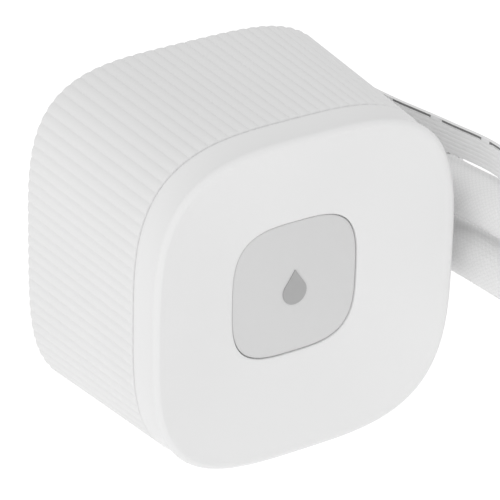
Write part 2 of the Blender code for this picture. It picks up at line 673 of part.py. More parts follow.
def build_upper_housing():
    flange_front = CAN_REAR + CAN_FLANGE
    flange = rounded_square(PLATE_WIDTH / 2 - 0.5, PLATE_CORNER, CAN_REAR, flange_front)
    can = new_object("upper_housing", flange, BLACK)
    domes = bmesh.new()
    roof = at(0, CAN_ROOF + CAN_WALL, 0)
    add_cylinder(domes, at(0, CAN_REAR + 0.5, 0), roof, CHAMBER_RADIUS + CAN_WALL, 28)
    join(can, domes)
    well = bmesh.new()
    roof = at(0, MAGNET_WELL_ROOF + CAN_WALL, 0)
    add_cylinder(well, at(0, CAN_REAR + 1, 0), roof, MAGNET_WELL_RADIUS + CAN_WALL, 28)
    for x, z in cross_points(25.2):
        add_cylinder(well, at(x, CAN_REAR + 1, z), at(x, BOARD_REAR - 0.1, z), 1.9, 10)
    for k in range(TOOTH_COUNT):
        a = math.radians(30 + 60 * k)
        x, z = 20.4 * math.cos(a), 20.4 * math.sin(a)
        add_cylinder(well, at(x, CAN_REAR + 1, z), at(x, STATOR_REAR - 0.2, z), 1.5, 8)
    join(can, well)
    rooms = bmesh.new()
    add_cylinder(rooms, at(0, CAN_REAR - 1, 0), at(0, CAN_ROOF, 0), CHAMBER_RADIUS, 28)
    cut(can, rooms)
    shaft_room = bmesh.new()
    add_cylinder(shaft_room, at(0, CAN_REAR, 0), at(0, MAGNET_WELL_ROOF, 0), MAGNET_WELL_RADIUS, 28)
    cut(can, shaft_room)
    socket = bmesh.new()
    add_cylinder(socket, at(0, MAGNET_WELL_ROOF - 0.9, 0), at(0, MAGNET_WELL_ROOF + 0.5, 0), 3.0, 14)
    join(can, socket)
    holes = bmesh.new()
    add_cylinder(holes, at(0, MAGNET_WELL_ROOF - 2, 0), at(0, MAGNET_WELL_ROOF, 0), SHAFT_RADIUS + 0.15, 10)
    for x, z in corner_points(FLANGE_SCREW_OFFSET):
        add_cylinder(holes, at(x, CAN_REAR - 1, z), at(x, flange_front + 1, z), 1.45, 10)
    for x, z in cross_points(25.2):
        add_cylinder(holes, at(x, BOARD_REAR - 5.5, z), at(x, BOARD_REAR + 1, z), 1.1, 10)
    cut(can, holes)
    for index, (x, z) in enumerate(corner_points(FLANGE_SCREW_OFFSET), 1):
        screw(f"housing_screw_{index}", at(x, flange_front + 0.1, z), (0, -1, 0), 2.2, 1.7, 1.1, 9.0)


# ---- rotor ---------------------------------------------------------------------
def build_rotor():
    disc_rear, disc_front = 19.4, 20.6
    rotor = bmesh.new()
    add_cylinder(rotor, at(0, disc_rear, 0), at(0, disc_front, 0), IMPELLER_RADIUS, 28)
    impeller = new_object("impeller", rotor, BLACK)
    hub = bmesh.new()
    add_cylinder(hub, at(0, 15.2, 0), at(0, MAGNET_FRONT - 0.4, 0), 4.1, 18)
    join(impeller, hub)
    blades = bmesh.new()
    for k in range(BLADE_COUNT):
        outline = []
        for side in (0.55, -0.55):
            arc = []
            for i in range(6):
                radius = 3.6 + (IMPELLER_RADIUS - 0.3 - 3.6) * i / 5
                a = 2 * math.pi * k / BLADE_COUNT - 0.85 * i / 5
                east, north = math.cos(a), math.sin(a)
                arc.append((radius * east - side * north, radius * north + side * east))
            outline += arc if side > 0 else arc[::-1]
        loops = [ring_verts(blades, outline, 15.4), ring_verts(blades, outline, disc_rear + 0.4)]
        bridge(blades, *loops)
        blades.faces.new(loops[0])
        blades.faces.new(loops[1])
    bmesh.ops.recalc_face_normals(blades, faces=blades.faces)
    join(impeller, blades)
    bore = bmesh.new()
    add_cylinder(bore, at(0, 14, 0), at(0, 35, 0), 2.9, 18)
    cut(impeller, bore)
    ring_solid("rotor_magnet", 4.3, MAGNET_RADIUS, MAGNET_REAR - 1.1, MAGNET_FRONT, MAGNET)
    ring_solid("rotor_bearing", SHAFT_RADIUS + 0.15, 2.7, 15.4, MAGNET_FRONT - 0.6, GRAPHITE, 24)
    shaft = bmesh.new()
    add_cylinder(shaft, at(0, 11.6, 0), at(0, MAGNET_WELL_ROOF - 0.15, 0), SHAFT_RADIUS, 14)
    new_object("rotor_shaft", shaft, CERAMIC)


# ---- stator and board -----------------------------------------------------------
def add_turned_box(bm, low, high, angle):
    """A box given along +X, turned about the depth axis."""
    part = bmesh.new()
    add_box(part, low, high)
    part.transform(Matrix.Rotation(angle, 4, "Y"))
    scratch = bpy.data.meshes.new("scratch")
    part.to_mesh(scratch)
    part.free()
    bm.from_mesh(scratch)
    bpy.data.meshes.remove(scratch)


def build_stator():
    core = ring_solid("stator_core", STATOR_INNER, STATOR_OUTER, STATOR_REAR, STATOR_FRONT, LAMINATION, 36)
    teeth = bmesh.new()
    half = TOOTH_WIDTH / 2
    for k in range(TOOTH_COUNT):
        add_turned_box(teeth, at(12.2, STATOR_REAR + 0.02, -half),
                       at(STATOR_INNER + 1.5, STATOR_FRONT - 0.02, half), math.radians(60 * k))
    join(core, teeth)
    sleeves = bmesh.new()
    windows = bmesh.new()
    coils = bmesh.new()
    wells = bmesh.new()
    # around each tooth: radii from and to, and how far the box stands out along the depth and to the sides
    layers = ((sleeves, 13.4, 18.2, 0.8, 0.8), (windows, 12.0, 18.4, 0.25, 0.25),
              (coils, 13.7, 17.0, 2.1, 2.2), (wells, 12.0, 18.4, 0.95, 0.95))
    for k in range(TOOTH_COUNT):
        for bm, near, far, deep, side in layers:
            add_turned_box(bm, at(near, STATOR_REAR - deep, -half - side),
                           at(far, STATOR_FRONT + deep, half + side), math.radians(60 * k))
    # one moulded insulator: a flat ring over the core that carries a sleeve on each tooth
    bobbin = ring_solid("stator_bobbin", 17.7, 21.6, STATOR_FRONT + 0.25, STATOR_FRONT + 0.9, WHITE, 36)
    join(bobbin, sleeves)
    cut(bobbin, windows)
    # one winding: the coils and the wire that runs from each to the next
    winding = ring_solid("stator_winding", 16.2, 16.9, STATOR_FRONT + 1.3, STATOR_FRONT + 1.9, WINDING, 36)
    join(winding, coils)
    cut(winding, wells)


def build_board():
    front = BOARD_REAR + BOARD_THICK
    bm = bmesh.new()
    add_cylinder(bm, at(0, BOARD_REAR, 0), at(0, front, 0), BOARD_RADIUS, 36)
    board = new_object("motor_board", bm, BOARD_GREEN)
    holes = bmesh.new()
    for x, z in cross_points(25.2):
        add_cylinder(holes, at(x, BOARD_REAR - 1, z), at(x, front + 1, z), 1.3, 10)
    cut(board, holes)
    top = front + 0.1
    chip = bmesh.new()
    add_box(chip, at(-4, top, -3), at(2, top + 1.2, 3))
    new_object("controller_chip", chip, BLACK, smooth=False)
    disc("board_capacitor", at(-13, top, 8), at(-13, top + 3.0, 8), 2.5, NICKEL, 20)
    header = bmesh.new()
    add_box(header, at(13, top, -5.5), at(18, top + 3.4, 5.5))
    header_obj = new_object("board_header", header, WHITE, smooth=False)
    room = bmesh.new()
    add_box(room, at(14, top + 1.0, -4.5), at(20, top + 2.6, 4.5))
    cut(header_obj, room)
    for side, (x, z) in zip(("upper", "lower"), ((0, 25.2), (0, -25.2))):
        screw("board_screw_" + side, at(x, front + 0.1, z), (0, -1, 0), 2.0, 1.2, 0.9, 5.0)


# ---- elbows, ferrules, hoses ------------------------------------------------------
def build_elbow(name, z):
    flange_x = PLATE_WIDTH / 2 + 0.3
    bm = bmesh.new()
    add_cylinder(bm, at(flange_x + 1, PORT_DEPTH, z), at(HOSE_X, PORT_DEPTH, z), 5.0, 18)
    elbow = new_object(name, bm, BLACK)
    extra = bmesh.new()
    add_cylinder(extra, at(flange_x, PORT_DEPTH, z), at(flange_x + 2, PORT_DEPTH, z), 6.2, 18)
    join(elbow, extra)
    spigot = bmesh.new()
    add_cylinder(spigot, at(flange_x - 8.5, PORT_DEPTH, z), at(flange_x + 1, PORT_DEPTH, z),
                 PORT_RADIUS - 0.25, 18)
    join(elbow, spigot)
    corner = bmesh.new()
    bmesh.ops.create_uvsphere(corner, u_segments=16, v_segments=8, radius=5.35,
                              matrix=Matrix.Translation(at(HOSE_X, PORT_DEPTH, z)))
    join(elbow, corner)
    riser = bmesh.new()
    add_cylinder(riser, at(HOSE_X, PORT_DEPTH, z), at(HOSE_X, HOSE_START - 0.3, z),
                 HOSE_DIAMETER / 2 - 1.1, 18)
    join(elbow, riser)
    collar = bmesh.new()
    add_cylinder(collar, at(HOSE_X, HOSE_START - 4.6, z), at(HOSE_X, HOSE_START - 1.2, z),
                 HOSE_DIAMETER / 2 + HOSE_FIT - 0.3, 18)
    join(elbow, collar)
    bore = bmesh.new()
    add_cylinder(bore, at(flange_x - 10, PORT_DEPTH, z), at(HOSE_X + 1.5, PORT_DEPTH, z), 2.5, 10)
    cut(elbow, bore)
    bore = bmesh.new()
    add_cylinder(bore, at(HOSE_X, PORT_DEPTH - 1, z), at(HOSE_X, HOSE_START + 1, z), 2.6, 10)
    cut(elbow, bore)
    groove = bmesh.new()
    seat = PLATE_WIDTH / 2 - SEAL_INSET
    add_cylinder(groove, at(seat - 0.7, PORT_DEPTH, z), at(seat + 0.7, PORT_DEPTH, z), 5.0, 18)
    core = bmesh.new()
    add_cylinder(core, at(seat - 1.7, PORT_DEPTH, z), at(seat + 1.7, PORT_DEPTH, z), 3.0, 18)
    cut_ring(elbow, groove, core)


def build_port_hardware():
    build_elbow("supply_elbow", -HOSE_OFFSET)
    build_elbow("return_elbow", HOSE_OFFSET)
    for side, z in (("return", HOSE_OFFSET), ("supply", -HOSE_OFFSET)):
        seal = bmesh.new()
        add_torus(seal, at(PLATE_WIDTH / 2 - SEAL_INSET, PORT_DEPTH, z), (1, 0, 0), 3.45, 0.35, 16, 6)
        new_object(side + "_elbow_seal", seal, RUBBER)
    face = PLATE_WIDTH / 2
    clamp = bmesh.new()
    add_box(clamp, at(face + 2.5, 5.3, -16.6), at(face + 4.1, 15.6, 16.6))
    clamp_obj = new_object("port_clamp", clamp, STEEL)
    spacer = bmesh.new()
    for z in clamp_points():
        centre = z + math.copysign(0.05, z)
        add_box(spacer, at(face + 0.2, 8.2, centre - 1.25), at(face + 3.0, 12.2, centre + 1.25))
    join(clamp_obj, spacer)
    holes = bmesh.new()
    for z in (HOSE_OFFSET, -HOSE_OFFSET):
        add_cylinder(holes, at(face, PORT_DEPTH, z), at(face + 6, PORT_DEPTH, z), 5.25, 24)
    for z in clamp_points():
        add_cylinder(holes, at(face - 1, PORT_DEPTH, z), at(face + 6, PORT_DEPTH, z), 1.0, 8)
    cut(clamp_obj, holes)
    for side, z in zip(("upper", "lower"), clamp_points()):
        screw("clamp_screw_" + side, at(face + 4.2, PORT_DEPTH, z), (1, 0, 0), 1.8, 1.2, 0.8, 9.0, 12)


def sleeve(name, start, direction, length, inner, outer, segments=18):
    """A turned crimp sleeve with rolled ends and a pressed waist."""
    bm = bmesh.new()
    turn = Vector(direction).normalized().to_track_quat("Z", "Y").to_matrix()
    profile = [(outer, 0), (outer, length * 0.3), (outer - 0.3, length * 0.36), (outer - 0.3, length * 0.44),
               (outer, length * 0.5), (outer, length), (inner, length), (inner, 0)]
    loops = turned_loops(bm, start, turn, profile, segments)
    for first, second in zip(loops, loops[1:] + loops[:1]):
        bridge(bm, first, second)
    bmesh.ops.recalc_face_normals(bm, faces=bm.faces)
    return new_object(name, bm, WHITE)


def build_hoses():
    for side, z, route in (("supply", -HOSE_OFFSET, SUPPLY_ROUTE), ("return", HOSE_OFFSET, RETURN_ROUTE)):
        sleeve(side + "_head_ferrule", at(HOSE_X, HOSE_START - 5.2, z), (0, -1, 0), FERRULE_LENGTH,
               HOSE_DIAMETER / 2 + HOSE_FIT, FERRULE_DIAMETER / 2)
        points = smooth_route(route, 14.0)
        curve_tube(side + "_hose", points, HOSE_DIAMETER / 2 - 0.05, BRAID)
        tip, along = route_end(route)
        sleeve(side + "_end_ferrule", tip - along * 10.0, along, FERRULE_LENGTH,
               HOSE_DIAMETER / 2 + HOSE_FIT, FERRULE_DIAMETER / 2)
        build_fitting(side + "_fitting", tip, along)


def route_end(points):
    """The end of a route and its direction there."""
    tip = Vector(points[-1])
    return tip, (tip - Vector(points[-2])).normalized()


def build_fitting(name, tip, along):
    """A swivel fitting: neck inside the ferrule, hexagon nut and threaded nose."""
    bm = bmesh.new()
    add_cylinder(bm, tip + along * 0.4, tip + along * 9.0, HOSE_DIAMETER / 2 - 0.4, 18)
    obj = new_object(name, bm, NICKEL)
    nut = bmesh.new()
    add_cylinder(nut, tip + along * 7.0, tip + along * 13.0, NUT_RADIUS, 6)
    join(obj, nut)
    nose = bmesh.new()
    add_cylinder(nose, tip + along * 12.0, tip + along * 21.0, 6.4, 18)
    join(obj, nose)
    bore = bmesh.new()
    add_cylinder(bore, tip - along, tip + along * 22.0, 4.0, 14)
    cut(obj, bore)


# ---- flat lead ----------------------------------------------------------------------
def build_lead():
    guide = bmesh.new()
    wall_x, wall_z = LEAD_THICK / 2 + LEAD_GAP, LEAD_WIDTH / 2 + LEAD_GAP
    add_box(guide, at(LEAD_X - wall_x - 0.9, 7.4, LEAD_Z - wall_z - 0.7),
            at(LEAD_X + wall_x + 1.0, 16.0, LEAD_Z + GUIDE_RISE))
    guide_obj = new_object("lead_guide", guide, WHITE, smooth=False)
    neck = bmesh.new()
    add_box(neck, at(LEAD_X - 6.0, 8.8, LEAD_Z - 3.0), at(LEAD_X - wall_x - 0.4, 13.8, LEAD_Z + 3.0))
    join(guide_obj, neck)
    room = bmesh.new()
    add_box(room, at(LEAD_X - wall_x, 9.6, LEAD_Z - wall_z), at(LEAD_X + wall_x, 17.0, LEAD_Z + wall_z))
    cut(guide_obj, room)
    points = smooth_route(LEAD_ROUTE, 10.0)
    bm = bmesh.new()
    loops = []
    for index, point in enumerate(points):
        ahead = Vector(points[min(index + 1, len(points) - 1)])
        behind = Vector(points[max(index - 1, 0)])
        along = (ahead - behind).normalized()
        level = along.cross(Vector((0, 0, 1))).normalized()
        rise = level.cross(along)
        tilt = lead_tilt(index / (len(points) - 1))
        wide = (level * math.cos(tilt) + rise * math.sin(tilt)) * LEAD_WIDTH / 2
        thick = (rise * math.cos(tilt) - level * math.sin(tilt)) * LEAD_THICK / 2
        corners = (wide + thick, thick - wide, -wide - thick, wide - thick)
        loops.append([bm.verts.new(Vector(point) + corner) for corner in corners])
    for first, second in zip(loops, loops[1:]):
        bridge(bm, first, second)
    bm.faces.new(loops[0])
    bm.faces.new(loops[-1])
    bmesh.ops.recalc_face_normals(bm, faces=bm.faces)
    new_object("signal_lead", bm, LEAD_WHITE)
    tip, along = route_end(LEAD_ROUTE)
    build_plug(tip, along)


def lead_tilt(share):
    """The lead stands on edge beside the head and lies flat on the table: share is 0 at the head."""
    left = min(1.0, max(0.0, (0.44 - share) / 0.32))
    return math.pi / 2 * left * left * (3 - 2 * left)


def build_plug(tip, along):
    x, y, z = tip
    body = bmesh.new()
    add_box(body, (x - 5.2, y + 0.4, z - 2.2), (x + 5.2, y + 12.4, z + 2.2))
    plug = new_object("lead_plug", body, WHITE, smooth=False)
    key = bmesh.new()
    add_box(key, (x - 3.6, y + 1.4, z + 1.8), (x + 0.4, y + 11.4, z + 3.0))
    join(plug, key)
    sockets = bmesh.new()
    for i in range(4):
        px = x + (i - 1.5) * 2.4
        add_box(sockets, (px - 0.8, y + 3.4, z - 0.8), (px + 0.8, y + 13.4, z + 0.8))
    cut(plug, sockets)


build_shroud()
build_cap()
build_badge()
build_magnets()
build_inner_frame()
build_rear_cover()
build_cold_plate()
build_lower_housing()
build_upper_housing()
build_rotor()
build_stator()
build_board()
build_port_hardware()
build_hoses()
build_lead()
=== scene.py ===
"""Looks of a liquid-cooler pump head: a fluted white housing with a dished cap,
a copper cold plate, two braided coolant hoses and a flat slotted lead.

Metres, +Z up. The cap faces -Y and the cold plate's contact face is the plane y = 0.
Depth is measured from that face towards the cap.
"""
import math

import bmesh
import bpy
import numpy as np
from mathutils import Matrix, Vector


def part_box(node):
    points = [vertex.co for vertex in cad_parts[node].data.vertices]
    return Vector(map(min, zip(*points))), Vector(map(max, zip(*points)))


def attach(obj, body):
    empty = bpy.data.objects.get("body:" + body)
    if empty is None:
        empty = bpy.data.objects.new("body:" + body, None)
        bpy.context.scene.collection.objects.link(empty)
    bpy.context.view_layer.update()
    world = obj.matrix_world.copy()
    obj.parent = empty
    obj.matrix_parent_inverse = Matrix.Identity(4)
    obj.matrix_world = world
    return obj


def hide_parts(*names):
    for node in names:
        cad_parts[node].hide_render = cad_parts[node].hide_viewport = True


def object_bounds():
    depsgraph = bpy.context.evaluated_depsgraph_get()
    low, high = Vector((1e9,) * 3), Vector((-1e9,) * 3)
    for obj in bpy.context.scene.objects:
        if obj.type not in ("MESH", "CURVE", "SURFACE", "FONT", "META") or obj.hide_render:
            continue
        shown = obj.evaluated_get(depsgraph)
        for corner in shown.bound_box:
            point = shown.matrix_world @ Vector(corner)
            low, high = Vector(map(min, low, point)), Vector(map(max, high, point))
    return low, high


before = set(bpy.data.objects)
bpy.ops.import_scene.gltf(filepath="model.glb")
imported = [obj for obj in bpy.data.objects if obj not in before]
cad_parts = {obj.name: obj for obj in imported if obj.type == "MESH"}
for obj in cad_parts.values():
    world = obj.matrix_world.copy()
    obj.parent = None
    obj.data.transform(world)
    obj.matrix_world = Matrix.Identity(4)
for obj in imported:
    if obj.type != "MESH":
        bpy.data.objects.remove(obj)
CAD_BOX = [[float(value) for value in corner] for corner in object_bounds()]

MM = 0.001
FLOOR_Z = CAD_BOX[0][2]


def in_metres(*points):
    """A route of points given in millimetres."""
    return [tuple(round(value * MM, 7) for value in point) for point in points]


# ---- outlines of the head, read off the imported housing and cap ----
SHROUD_LOW, SHROUD_HIGH = (Vector(corner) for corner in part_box("ribbed_shroud"))
CAP_LOW, CAP_HIGH = (Vector(corner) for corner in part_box("front_cap"))
BADGE_LOW, BADGE_HIGH = (Vector(corner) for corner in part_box("badge_plate"))
REAR_HALF = (SHROUD_HIGH.x - SHROUD_LOW.x) / 2
REAR_FLARE = 1.15 * MM
FRONT_HALF = REAR_HALF - REAR_FLARE
REAR_EXPONENT = 3.9
FRONT_EXPONENT = 3.28
REAR_DEPTH = -SHROUD_HIGH.y
SEAM_DEPTH = -SHROUD_LOW.y
RIB_COUNT = 104
RIB_HEIGHT = 0.30 * MM
WALL = 2.7 * MM
REAR_ROUND = 0.9 * MM
RIM_ROUND = 0.6 * MM
SEAT_DEPTH = 3.0 * MM
CAP_HALF = (CAP_HIGH.x - CAP_LOW.x) / 2
CAP_REAR = -CAP_HIGH.y
CAP_FRONT = -CAP_LOW.y
CAP_EXPONENT = 3.35
CAP_WAIST = 0.45 * MM
CAP_TAPER = 0.25 * MM
CAP_EDGE = 1.3 * MM
CAP_WALL = 2.2 * MM
CAP_LEAD_IN = 0.35 * MM
DISH_DEPTH = 5.4 * MM
DISH_CURVE = 1.12
BADGE_EXPONENT = 3.36
BADGE_HALF = (BADGE_HIGH.x - BADGE_LOW.x) / 2
BADGE_FACE = -BADGE_LOW.y
BADGE_GAP = 0.22 * MM

# ---- hoses and lead ----
HOSE_DIAMETER = 12 * MM
HOSE_OFFSET = 7.2 * MM
HOSE_X = 51.2 * MM
HOSE_START = 24 * MM
FERRULE_LAP = 5 * MM        # how far a ferrule reaches past the hose's end
PORT_DEPTH = 10.2 * MM
FERRULE_RADIUS = 6.7 * MM
FERRULE_LENGTH = 15 * MM
NUT_RADIUS = 7.75 * MM
LEAD_WIDTH = 7.6 * MM
RETURN_ROUTE = in_metres(
    (51.2, -24, 7.2), (51.2, -37, 7.2), (53, -52, 7.2), (55.4, -68, 5.6), (55.8, -86, -1.6),
    (54, -104, -12.2), (51.6, -122, -23.6), (50, -140, -32), (51, -159, -35), (60.4, -184, -35),
    (80.6, -203, -35), (108, -211.4, -35), (136.4, -208, -35), (160.6, -192, -35), (176, -168, -35),
    (181.6, -141, -35), (183, -114, -34.2), (184.2, -94, -33.2), (184.2, -82, -33.2))
SUPPLY_ROUTE = in_metres(
    (51.2, -24, -7.2), (51.2, -37, -7.2), (52.4, -52, -7.2), (55.4, -68, -9.4), (59.6, -86, -16.4),
    (62.4, -104, -25.6), (64.2, -122, -32.2), (65, -140, -34.8), (67.4, -158, -35), (76.4, -177, -35),
    (95, -191.6, -35), (116.4, -195.4, -35), (138.4, -189, -35), (155.4, -173.6, -35), (164, -152, -35),
    (166, -128, -35), (166.2, -100, -35), (166.2, -76, -34.5), (166.2, -54, -33.2), (166.2, -42, -33.2))
LEAD_ROUTE = in_metres(
    (43.4, -16.4, 20.9), (44.6, -24, 20.9), (48, -40, 20.9), (51, -55, 20.3), (51.4, -70, 16.6),
    (46.8, -88, 6.6), (40.6, -106, -6.8), (35.8, -124, -21), (33.4, -143, -33.2), (32, -161, -39.2),
    (27.6, -177, -40.2), (15.6, -190, -40.2), (-2, -195, -40.2), (-19, -188, -40.2), (-28, -172, -40.2),
    (-29, -152, -40.2), (-26.6, -130, -40.2), (-26, -108, -39.4), (-26, -96, -38.9))


# ---- objects ----
def link_in(name, data):
    obj = bpy.data.objects.new(name, data)
    bpy.context.scene.collection.objects.link(obj)
    return obj


def mesh_of(name, bm):
    mesh = bpy.data.meshes.new(name)
    bm.to_mesh(mesh)
    bm.free()
    return mesh


def evaluated_mesh(obj):
    """What an object's modifiers make of it, as a mesh of its own."""
    graph = bpy.context.evaluated_depsgraph_get()
    return bpy.data.meshes.new_from_object(obj.evaluated_get(graph), depsgraph=graph)


# ---- camera ----
CAMERA_DISTANCE = 0.7193    # from the middle of the seam to the lens


def aim_camera():
    """A long lens above the head and to its left."""
    azimuth, elevation, roll = -0.5983, 0.4943, 0.0305
    data = bpy.data.cameras.new("camera")
    data.sensor_width = 36.0
    data.lens = 234.0
    data.shift_x = -0.0721
    data.shift_y = 0.0608
    data.clip_end = 20.0
    back = Vector((math.sin(azimuth) * math.cos(elevation), -math.cos(azimuth) * math.cos(elevation),
                   math.sin(elevation)))
    level = (-back).cross(Vector((0, 0, 1))).normalized()
    rise = level.cross(-back)
    right = level * math.cos(roll) + rise * math.sin(roll)
    up = rise * math.cos(roll) - level * math.sin(roll)
    camera = link_in("camera", data)
    place = Matrix((right, up, back)).transposed().to_4x4()
    place.translation = Vector((0, -SEAM_DEPTH, 0)) + back * CAMERA_DISTANCE
    camera.matrix_world = place
    bpy.context.scene.camera = camera


# ---- node helpers ----
def put(tree, kind, values=None, **settings):
    """Add a node; a value that is a socket is linked, anything else is set."""
    node = tree.nodes.new(kind)
    for name, value in settings.items():
        setattr(node, name, value)
    for name, value in (values or {}).items():
        if isinstance(value, bpy.types.NodeSocket):
            tree.links.new(value, node.inputs[name])
        else:
            node.inputs[name].default_value = value
    return node


def calc(tree, operation, first, second=0.0, clamp=False):
    return put(tree, "ShaderNodeMath", {0: first, 1: second}, operation=operation, use_clamp=clamp).outputs[0]


def times(tree, first, second):
    return calc(tree, "MULTIPLY", first, second)


def geometry_of(tree, given):
    return put(tree, "GeometryNodeObjectInfo", {"Object": given}).outputs["Geometry"]


def vector_calc(tree, operation, first, second):
    values = {0: first, ("Scale" if operation == "SCALE" else 1): second}
    return put(tree, "ShaderNodeVectorMath", values, operation=operation).outputs[0]


def noise(tree, where, scale, detail):
    return put(tree, "ShaderNodeTexNoise", {"Vector": where, "Scale": scale, "Detail": detail}).outputs[0]


def blend_colours(tree, factor, first, second):
    return put(tree, "ShaderNodeMix", {0: factor, 6: first, 7: second}, data_type="RGBA").outputs[2]


def new_group(name, kind, inputs, outputs):
    """An empty node group with named sockets; inputs are (name, type, default)."""
    tree = bpy.data.node_groups.new(name, kind)
    for label, socket, default in inputs:
        item = tree.interface.new_socket(name=label, in_out="INPUT", socket_type=socket)
        if default is not None:
            item.default_value = default
    for label, socket in outputs:
        tree.interface.new_socket(name=label, in_out="OUTPUT", socket_type=socket)
    return tree, tree.nodes.new("NodeGroupInput").outputs, tree.nodes.new("NodeGroupOutput").inputs


COLOUR, NUMBER, VECTOR = "NodeSocketColor", "NodeSocketFloat", "NodeSocketVector"
MID_GREY = (0.5, 0.5, 0.5, 1.0)
FINISH_OUTPUTS = [("Colour", COLOUR), ("Roughness", NUMBER), ("Normal", VECTOR)]


def connect_finish(tree, given, out, tint, gloss, height, distance):
    """Put out the tinted colour, the roughness and a bump of the given height."""
    tree.links.new(blend_colours(tree, tint, given["Colour"], given["Shade"]), out["Colour"])
    tree.links.new(gloss, out["Roughness"])
    bump = put(tree, "ShaderNodeBump", {"Strength": given["Depth"], "Distance": distance, "Height": height})
    tree.links.new(bump.outputs[0], out["Normal"])
    return tree


def make_moulded_group():
    """Moulded skin: fine spark texture, broad cloudiness and a change of gloss."""
    tree, given, out = new_group("moulded_skin", "ShaderNodeTree", [
        ("Vector", VECTOR, None), ("Colour", COLOUR, MID_GREY), ("Shade", COLOUR, MID_GREY),
        ("Grain", NUMBER, 4000.0), ("Depth", NUMBER, 0.2), ("Gloss", NUMBER, 0.4),
        ("Clouds", NUMBER, 0.5)], FINISH_OUTPUTS)
    fine = noise(tree, given["Vector"], given["Grain"], 3.0)
    broad = noise(tree, given["Vector"], 45.0, 4.0)
    clouds = times(tree, broad, given["Clouds"])
    wander = times(tree, calc(tree, "SUBTRACT", broad, 0.5), 0.22)
    speckle = times(tree, calc(tree, "SUBTRACT", fine, 0.5), 0.16)
    gloss = calc(tree, "ADD", given["Gloss"], calc(tree, "ADD", wander, speckle), clamp=True)
    return connect_finish(tree, given, out, clouds, gloss, fine, 0.04 * MM)


def make_lined_group():
    """Lines left by a tool or a stack: stretched noise over a fine band, with tarnish between."""
    tree, given, out = new_group("tool_lines", "ShaderNodeTree", [
        ("Vector", VECTOR, None), ("Stretch", VECTOR, (1.0, 1.0, 1.0)), ("Colour", COLOUR, MID_GREY),
        ("Shade", COLOUR, MID_GREY), ("Depth", NUMBER, 0.2), ("Gloss", NUMBER, 0.3),
        ("Tarnish", NUMBER, 0.4)], FINISH_OUTPUTS)
    stretched = vector_calc(tree, "MULTIPLY", given["Vector"], given["Stretch"])
    lines = noise(tree, stretched, 1.0, 4.0)
    spots = noise(tree, given["Vector"], 90.0, 6.0)
    marks = times(tree, times(tree, lines, spots), given["Tarnish"])
    streak = times(tree, calc(tree, "SUBTRACT", lines, 0.5), 0.35)
    dull = times(tree, spots, 0.12)
    gloss = calc(tree, "ADD", given["Gloss"], calc(tree, "ADD", streak, dull), clamp=True)
    return connect_finish(tree, given, out, marks, gloss, lines, 0.03 * MM)


def make_fibre_group():
    """Filaments of a braid: fine threads along both strand directions, on the tube's UV map, with painted
    shade where strands meet.
    """
    tree, given, out = new_group("braid_fibres", "ShaderNodeTree", [
        ("UV", VECTOR, None), ("Colour", COLOUR, MID_GREY), ("Shade", COLOUR, MID_GREY),
        ("Strands", NUMBER, 24.0), ("Depth", NUMBER, 0.3), ("Gloss", NUMBER, 0.6)], FINISH_OUTPUTS)
    axes = put(tree, "ShaderNodeSeparateXYZ", {0: given["UV"]}).outputs
    around = times(tree, axes[0], given["Strands"])
    along = times(tree, axes[1], given["Strands"])
    left = calc(tree, "ADD", around, along)
    right = calc(tree, "SUBTRACT", along, around)
    cell = calc(tree, "ADD", calc(tree, "FLOOR", left), calc(tree, "FLOOR", right))
    top = calc(tree, "FLOORED_MODULO", cell, 2.0)
    across = calc(tree, "ADD", times(tree, left, calc(tree, "SUBTRACT", 1.0, top)), times(tree, right, top))
    threads = calc(tree, "ABSOLUTE", calc(tree, "SINE", times(tree, across, math.pi * 6)))
    fuzz = noise(tree, given["UV"], 160.0, 3.0)
    crown = calc(tree, "ABSOLUTE", calc(tree, "SINE", times(tree, across, math.pi)))
    # Painted shade: the colour darkens towards the hollows where strands meet; the fuzz adds random tone.
    painted_hollow_shade = calc(tree, "SUBTRACT", 1.0, crown)
    shade = calc(tree, "ADD", times(tree, painted_hollow_shade, 0.55), times(tree, fuzz, 0.3))
    rough = calc(tree, "ADD", given["Gloss"], times(tree, fuzz, 0.2), clamp=True)
    height = calc(tree, "ADD", threads, times(tree, fuzz, 0.6))
    return connect_finish(tree, given, out, shade, rough, height, 0.08 * MM)


MOULDED = make_moulded_group()
LINED = make_lined_group()
FIBRES = make_fibre_group()


def finish_with(name, group, values, coordinates="Object", **sockets):
    """A material whose colour, roughness and normal come from one shared group."""
    mat = bpy.data.materials.new(name)
    mat.use_nodes = True
    tree = mat.node_tree
    shader = tree.nodes["Principled BSDF"]
    where = put(tree, "ShaderNodeTexCoord").outputs[coordinates]
    skin = put(tree, "ShaderNodeGroup", node_tree=group)
    tree.links.new(where, skin.inputs[0])
    for label, value in values.items():
        skin.inputs[label].default_value = value
    for source, target in (("Colour", "Base Color"), ("Roughness", "Roughness"), ("Normal", "Normal")):
        tree.links.new(skin.outputs[source], shader.inputs[target])
    for label, value in sockets.items():
        shader.inputs[label.replace("_", " ")].default_value = value
    return mat


def grey(level, warmth=0.0):
    return (level * (1 + warmth), level, level * (1 - warmth), 1.0)


def moulding(name, colour, shade, grain, gloss, depth, clouds, **sockets):
    return finish_with(name, MOULDED, {"Colour": colour, "Shade": shade, "Grain": grain, "Depth": depth,
                                       "Gloss": gloss, "Clouds": clouds}, **sockets)


def white_moulding(name, level, grain, gloss, depth=0.12, clouds=0.5):
    return moulding(name, grey(level), grey(level * 0.955), grain, gloss, depth, clouds)


def dark_moulding(name, level, grain, gloss, depth=0.35):
    return moulding(name, grey(level), grey(level * 1.9), grain, gloss, depth, 0.8)


def metal(name, colour, shade, stretch, gloss, depth=0.2, tarnish=0.5, metallic=1.0):
    return finish_with(name, LINED, {"Stretch": stretch, "Colour": (*colour, 1.0), "Shade": (*shade, 1.0),
                                     "Gloss": gloss, "Depth": depth, "Tarnish": tarnish}, Metallic=metallic)


